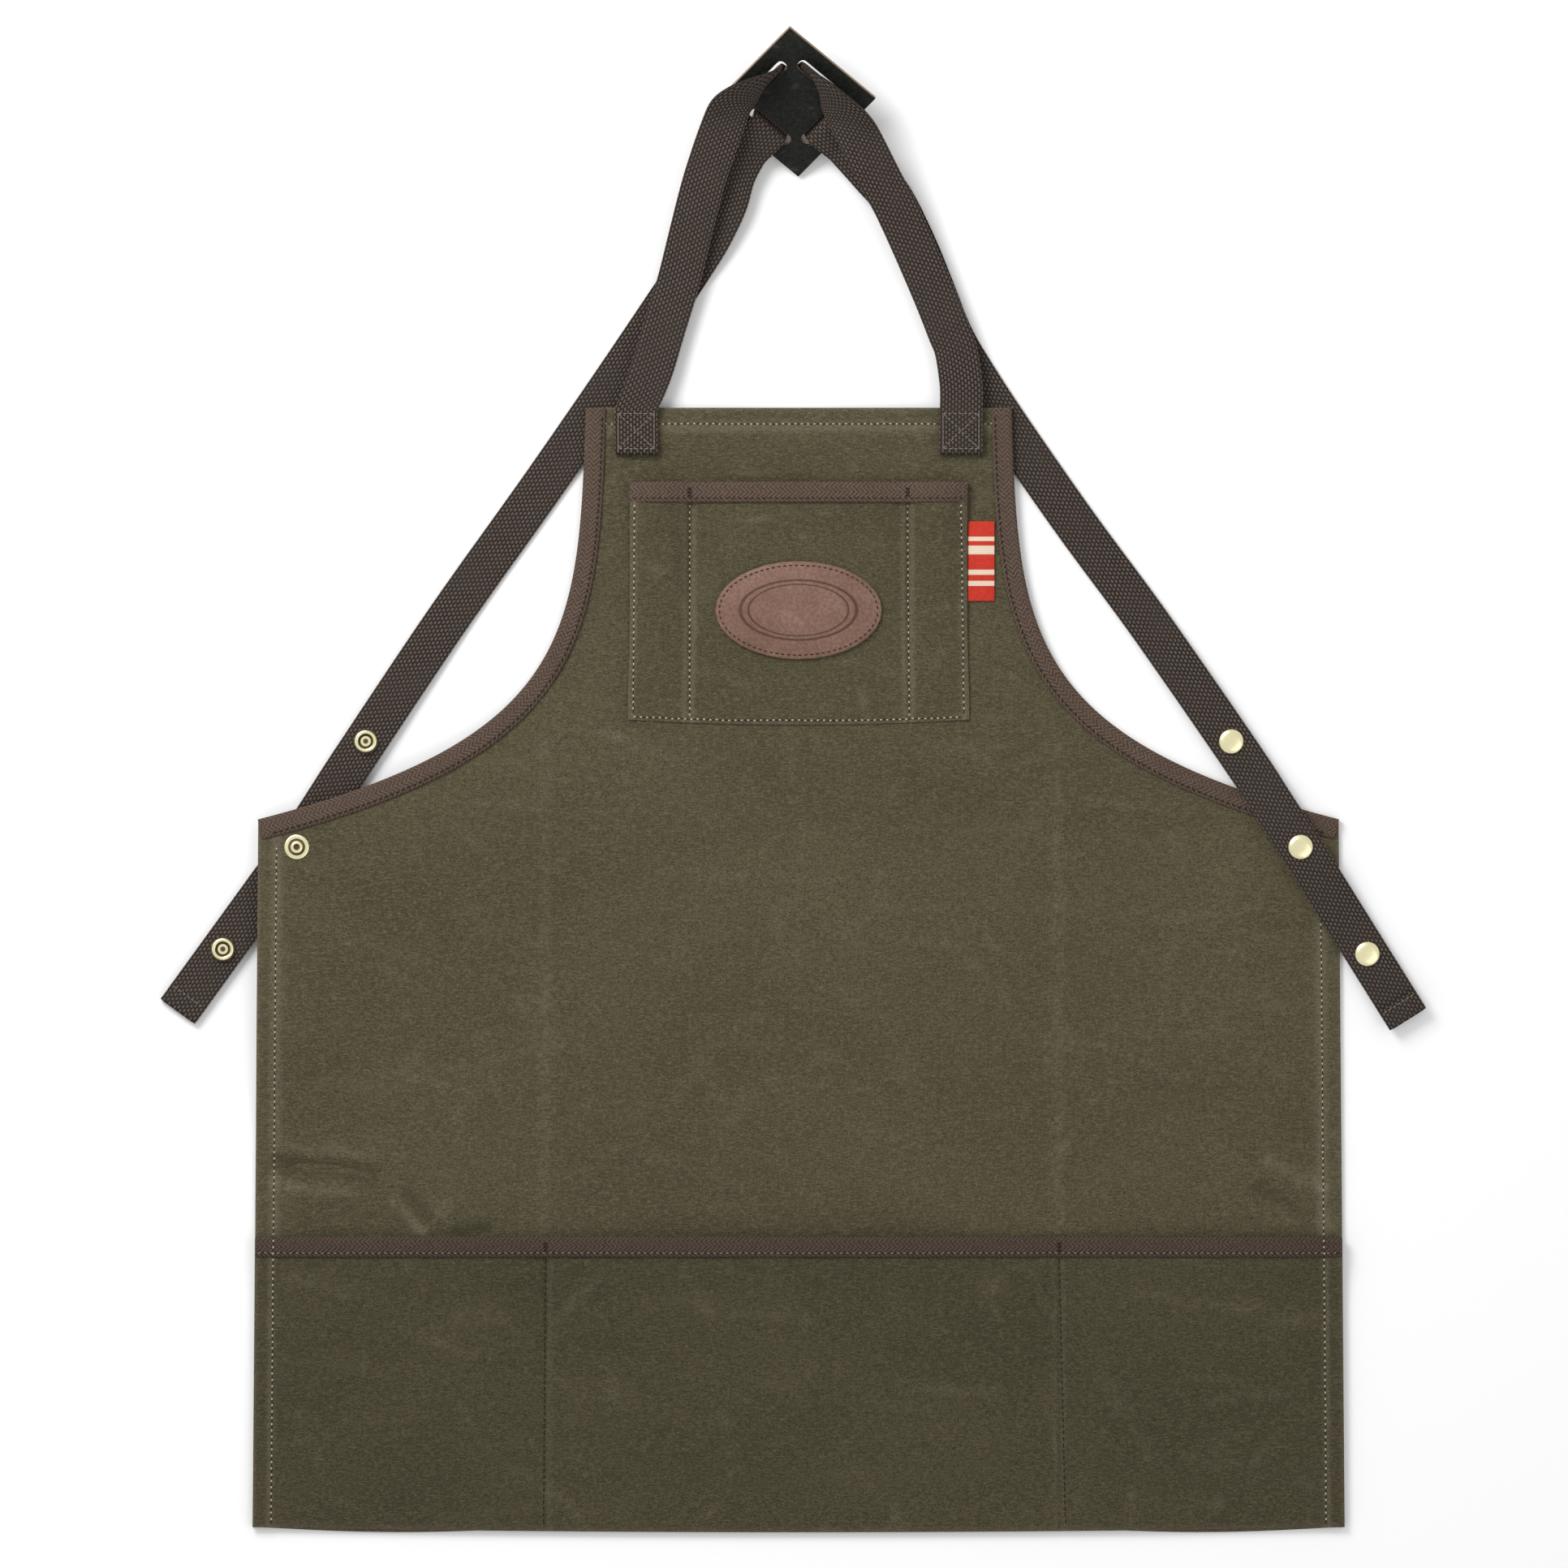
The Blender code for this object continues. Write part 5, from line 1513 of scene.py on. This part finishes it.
class APRON_OT_stitches(Operator):
    """Add the stitching of the cloth, the pockets, the patch and the strap ends"""

    bl_idname = "apron.stitches"
    bl_label = "Stitches"

    def execute(self, context):
        sizes = settings()
        length, gap = sizes.stitch_length, sizes.stitch_gap

        def trees(*names):
            return [tree_of(bpy.data.objects[name]) for name in names]

        base = -SKIRT_LENGTH
        dark, worn = bmesh.new(), bmesh.new()
        period = length + gap

        def worn_seam(lines, cloth):
            """Dark thread with pale rubbed bumps of cloth between its stitches."""
            stitch_rows(dark, lines, cloth, period * 0.52, period * 0.48)
            stitch_rows(worn, lines, cloth, period * 0.40, period * 0.60, radius=0.00052,
                        jitter=0.0004, phase=0.0)

        worn_seam([hem_line(-1), hem_line(1),
                   [(-0.1165, BIB_HEIGHT - TOP_HEM), (0.1165, BIB_HEIGHT - TOP_HEM)]],
                  trees("canvas_body", "canvas_lower_pocket", "tape_lower_pocket"))
        seams = []
        for x, lean in ((POCKET_SEAMS[0], -0.0012), (POCKET_SEAMS[1], 0.0036)):
            seams.append([(x, POCKET_MOUTH - 0.012), (x + lean, base + 0.002)])
        stitch_rows(dark, seams, trees("canvas_lower_pocket"), length, gap)
        worn_seam([
            [(-0.0960, BIB_POCKET_MOUTH - 0.013), (-0.0968, BIB_POCKET_BASE + 0.003)],
            [(0.0950, BIB_POCKET_MOUTH - 0.013), (0.0968, BIB_POCKET_BASE + 0.003)],
            [(PEN_SEAMS[0], BIB_POCKET_MOUTH - 0.013), (PEN_SEAMS[0], BIB_POCKET_BASE + 0.002)],
            [(PEN_SEAMS[1], BIB_POCKET_MOUTH - 0.013), (PEN_SEAMS[1] + 0.001,
                                                        BIB_POCKET_BASE + 0.002)],
            [(-0.0960, BIB_POCKET_BASE + 0.0015), (-0.040, BIB_POCKET_BASE - 0.0004),
             (0.040, BIB_POCKET_BASE - 0.0004), (0.0960, BIB_POCKET_BASE + 0.0015)],
        ], trees("canvas_bib_pocket"))
        for places, y, tape in ((POCKET_SEAMS, POCKET_MOUTH - TACK_DROP, "tape_lower_pocket"),
                                (PEN_SEAMS, BIB_POCKET_MOUTH - TACK_DROP, "tape_bib_pocket")):
            for x in places:
                stitch_rows(dark, [[(x + shift, y + TACK_HALF), (x + shift, y - TACK_HALF)]
                                   for shift in (-0.0008, 0.0, 0.0008)],
                            trees(tape), 0.0018, 0.0002)
        centre = (Vector(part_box("leather_patch")[0]) + Vector(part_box("leather_patch")[1])) / 2
        wide, tall = PATCH_STITCH
        turns = [2 * math.pi * index / 72 for index in range(73)]
        ring = [(centre.x + wide * math.cos(turn), centre.y + tall * math.sin(turn))
                for turn in turns]
        stitch_rows(dark, [ring], trees("patch_plate"), 0.0022, 0.0012)
        boxes = []
        for side in (-1, 1):
            x0, x1 = side * ANCHOR_SPREAD - 0.0105, side * ANCHOR_SPREAD + 0.0105
            y0, y1 = BIB_HEIGHT - ANCHOR_LENGTH + 0.0035, BIB_HEIGHT - 0.0035
            boxes += [[(x0, y0), (x1, y0), (x1, y1), (x0, y1), (x0, y0)],
                      [(x0, y0), (x1, y1)], [(x0, y1), (x1, y0)]]
        tails = routes()
        ends = []
        for side in (-1, 1):
            tip, back = tails[side][-1].xy, tails[side][-3].xy
            run = (tip - back).normalized()
            across = Vector((run.y, -run.x))
            spot = tip - run * 0.0085
            ends.append([tuple(spot - across * 0.0105), tuple(spot + across * 0.0105)])
        level = POCKET_MOUTH - TAPE_STITCH_DROP
        mouth = [[(-0.3155, level), (0.3155, level)]]
        stitch_rows(dark, mouth, trees("tape_lower_pocket"), period * 0.52, period * 0.48)
        level = BIB_POCKET_MOUTH - TAPE_STITCH_DROP
        stitch_rows(dark, [[(-0.0975, level), (0.0975, level)]], trees("tape_bib_pocket"), 0.0022,
                    0.0014)
        for side, word in ((-1, "left"), (1, "right")):
            stitch_rows(dark, [armhole_line(side)], trees(f"tape_armhole_{word}"), 0.0024,
                        0.0012, radius=0.00048)
        link_mesh("stitches_dark", dark, surface("dark_thread"))
        link_mesh("stitches_worn", worn, surface("worn_thread"))

        pale = bmesh.new()
        stitch_rows(pale, boxes + ends, trees("webbing_left", "webbing_right"), 0.0020, 0.0010)
        stitch_rows(pale, mouth, trees("tape_lower_pocket"), period * 0.52, period * 0.48,
                    phase=0.0)
        link_mesh("stitches_pale", pale, surface("pale_thread"))
        return {"FINISHED"}


# ----------------------------------------------------------------------------------------- stage

class APRON_OT_stage(Operator):
    """Add the pale floor, the soft light and the camera straight above"""

    bl_idname = "apron.stage"
    bl_label = "Stage"

    def execute(self, context):
        bm = bmesh.new()
        bmesh.ops.create_grid(bm, x_segments=1, y_segments=1, size=FLOOR_HALF)
        bmesh.ops.translate(bm, vec=(0.0, 0.0, -FLOOR_DROP), verts=bm.verts[:])
        mesh = bpy.data.meshes.new("floor")
        bm.to_mesh(mesh)
        bm.free()
        paper = bpy.data.materials.new("paper")
        paper.use_nodes = True
        shader = paper.node_tree.nodes["Principled BSDF"]
        shader.inputs["Base Color"].default_value = (0.90, 0.90, 0.90, 1.0)
        shader.inputs["Roughness"].default_value = 0.9
        mesh.materials.append(paper)
        floor = bpy.data.objects.new("floor", mesh)
        bpy.context.collection.objects.link(floor)

        world = bpy.data.worlds.new("studio")
        world.use_nodes = True
        sky = world.node_tree.nodes["Background"]
        sky.inputs["Color"].default_value = (1.0, 1.0, 1.0, 1.0)
        sky.inputs["Strength"].default_value = WORLD_STRENGTH
        bpy.context.scene.world = world

        for name, place, size, power in LIGHTS:
            light = bpy.data.lights.new(name, "AREA")
            light.shape = "SQUARE"
            light.size = size
            light.energy = power
            lamp = bpy.data.objects.new(name, light)
            lamp.location = place
            aim = Vector(LIGHT_AIM) - Vector(place)
            lamp.rotation_euler = aim.to_track_quat("-Z", "Y").to_euler()
            bpy.context.collection.objects.link(lamp)

        lens = bpy.data.cameras.new("camera")
        lens.sensor_width = SENSOR_WIDTH
        lens.lens = LENS
        camera = bpy.data.objects.new("camera", lens)
        camera.location = (*VIEW_CENTRE, VIEW_SPAN * LENS / SENSOR_WIDTH)
        bpy.context.collection.objects.link(camera)
        bpy.context.scene.camera = camera
        bpy.context.scene.view_settings.view_transform = "Standard"
        return {"FINISHED"}


class APRON_PT_panel(Panel):
    """Sizes, colours and pieces of the work apron"""

    bl_label = "Work apron"
    bl_idname = "APRON_PT_panel"
    bl_space_type = "VIEW_3D"
    bl_region_type = "UI"
    bl_category = "Apron"

    def draw(self, context):
        sizes = context.scene.apron_settings
        for name in ("canvas_colour", "pocket_colour", "tape_colour", "web_colour",
                     "brass_colour", "cell", "crease_height", "stitch_length", "stitch_gap",
                     "web_ribs"):
            self.layout.prop(sizes, name)
        for operator in PIECES:
            self.layout.operator(operator.bl_idname)


PIECES = (APRON_OT_body, APRON_OT_lower_pocket, APRON_OT_bib_pocket, APRON_OT_tapes,
          APRON_OT_straps, APRON_OT_snaps, APRON_OT_leather, APRON_OT_stitches, APRON_OT_stage)
CLASSES = (ApronSettings, *PIECES, APRON_PT_panel)


def register():
    for item in CLASSES:
        bpy.utils.register_class(item)
    bpy.types.Scene.apron_settings = PointerProperty(type=ApronSettings)


def unregister():
    del bpy.types.Scene.apron_settings
    for item in reversed(CLASSES):
        bpy.utils.unregister_class(item)


def main():
    register()
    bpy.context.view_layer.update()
    for run in (bpy.ops.apron.body, bpy.ops.apron.lower_pocket, bpy.ops.apron.bib_pocket,
                bpy.ops.apron.tapes, bpy.ops.apron.straps, bpy.ops.apron.snaps,
                bpy.ops.apron.leather, bpy.ops.apron.stitches, bpy.ops.apron.stage):
        run()


if __name__ == "__main__":
    main()
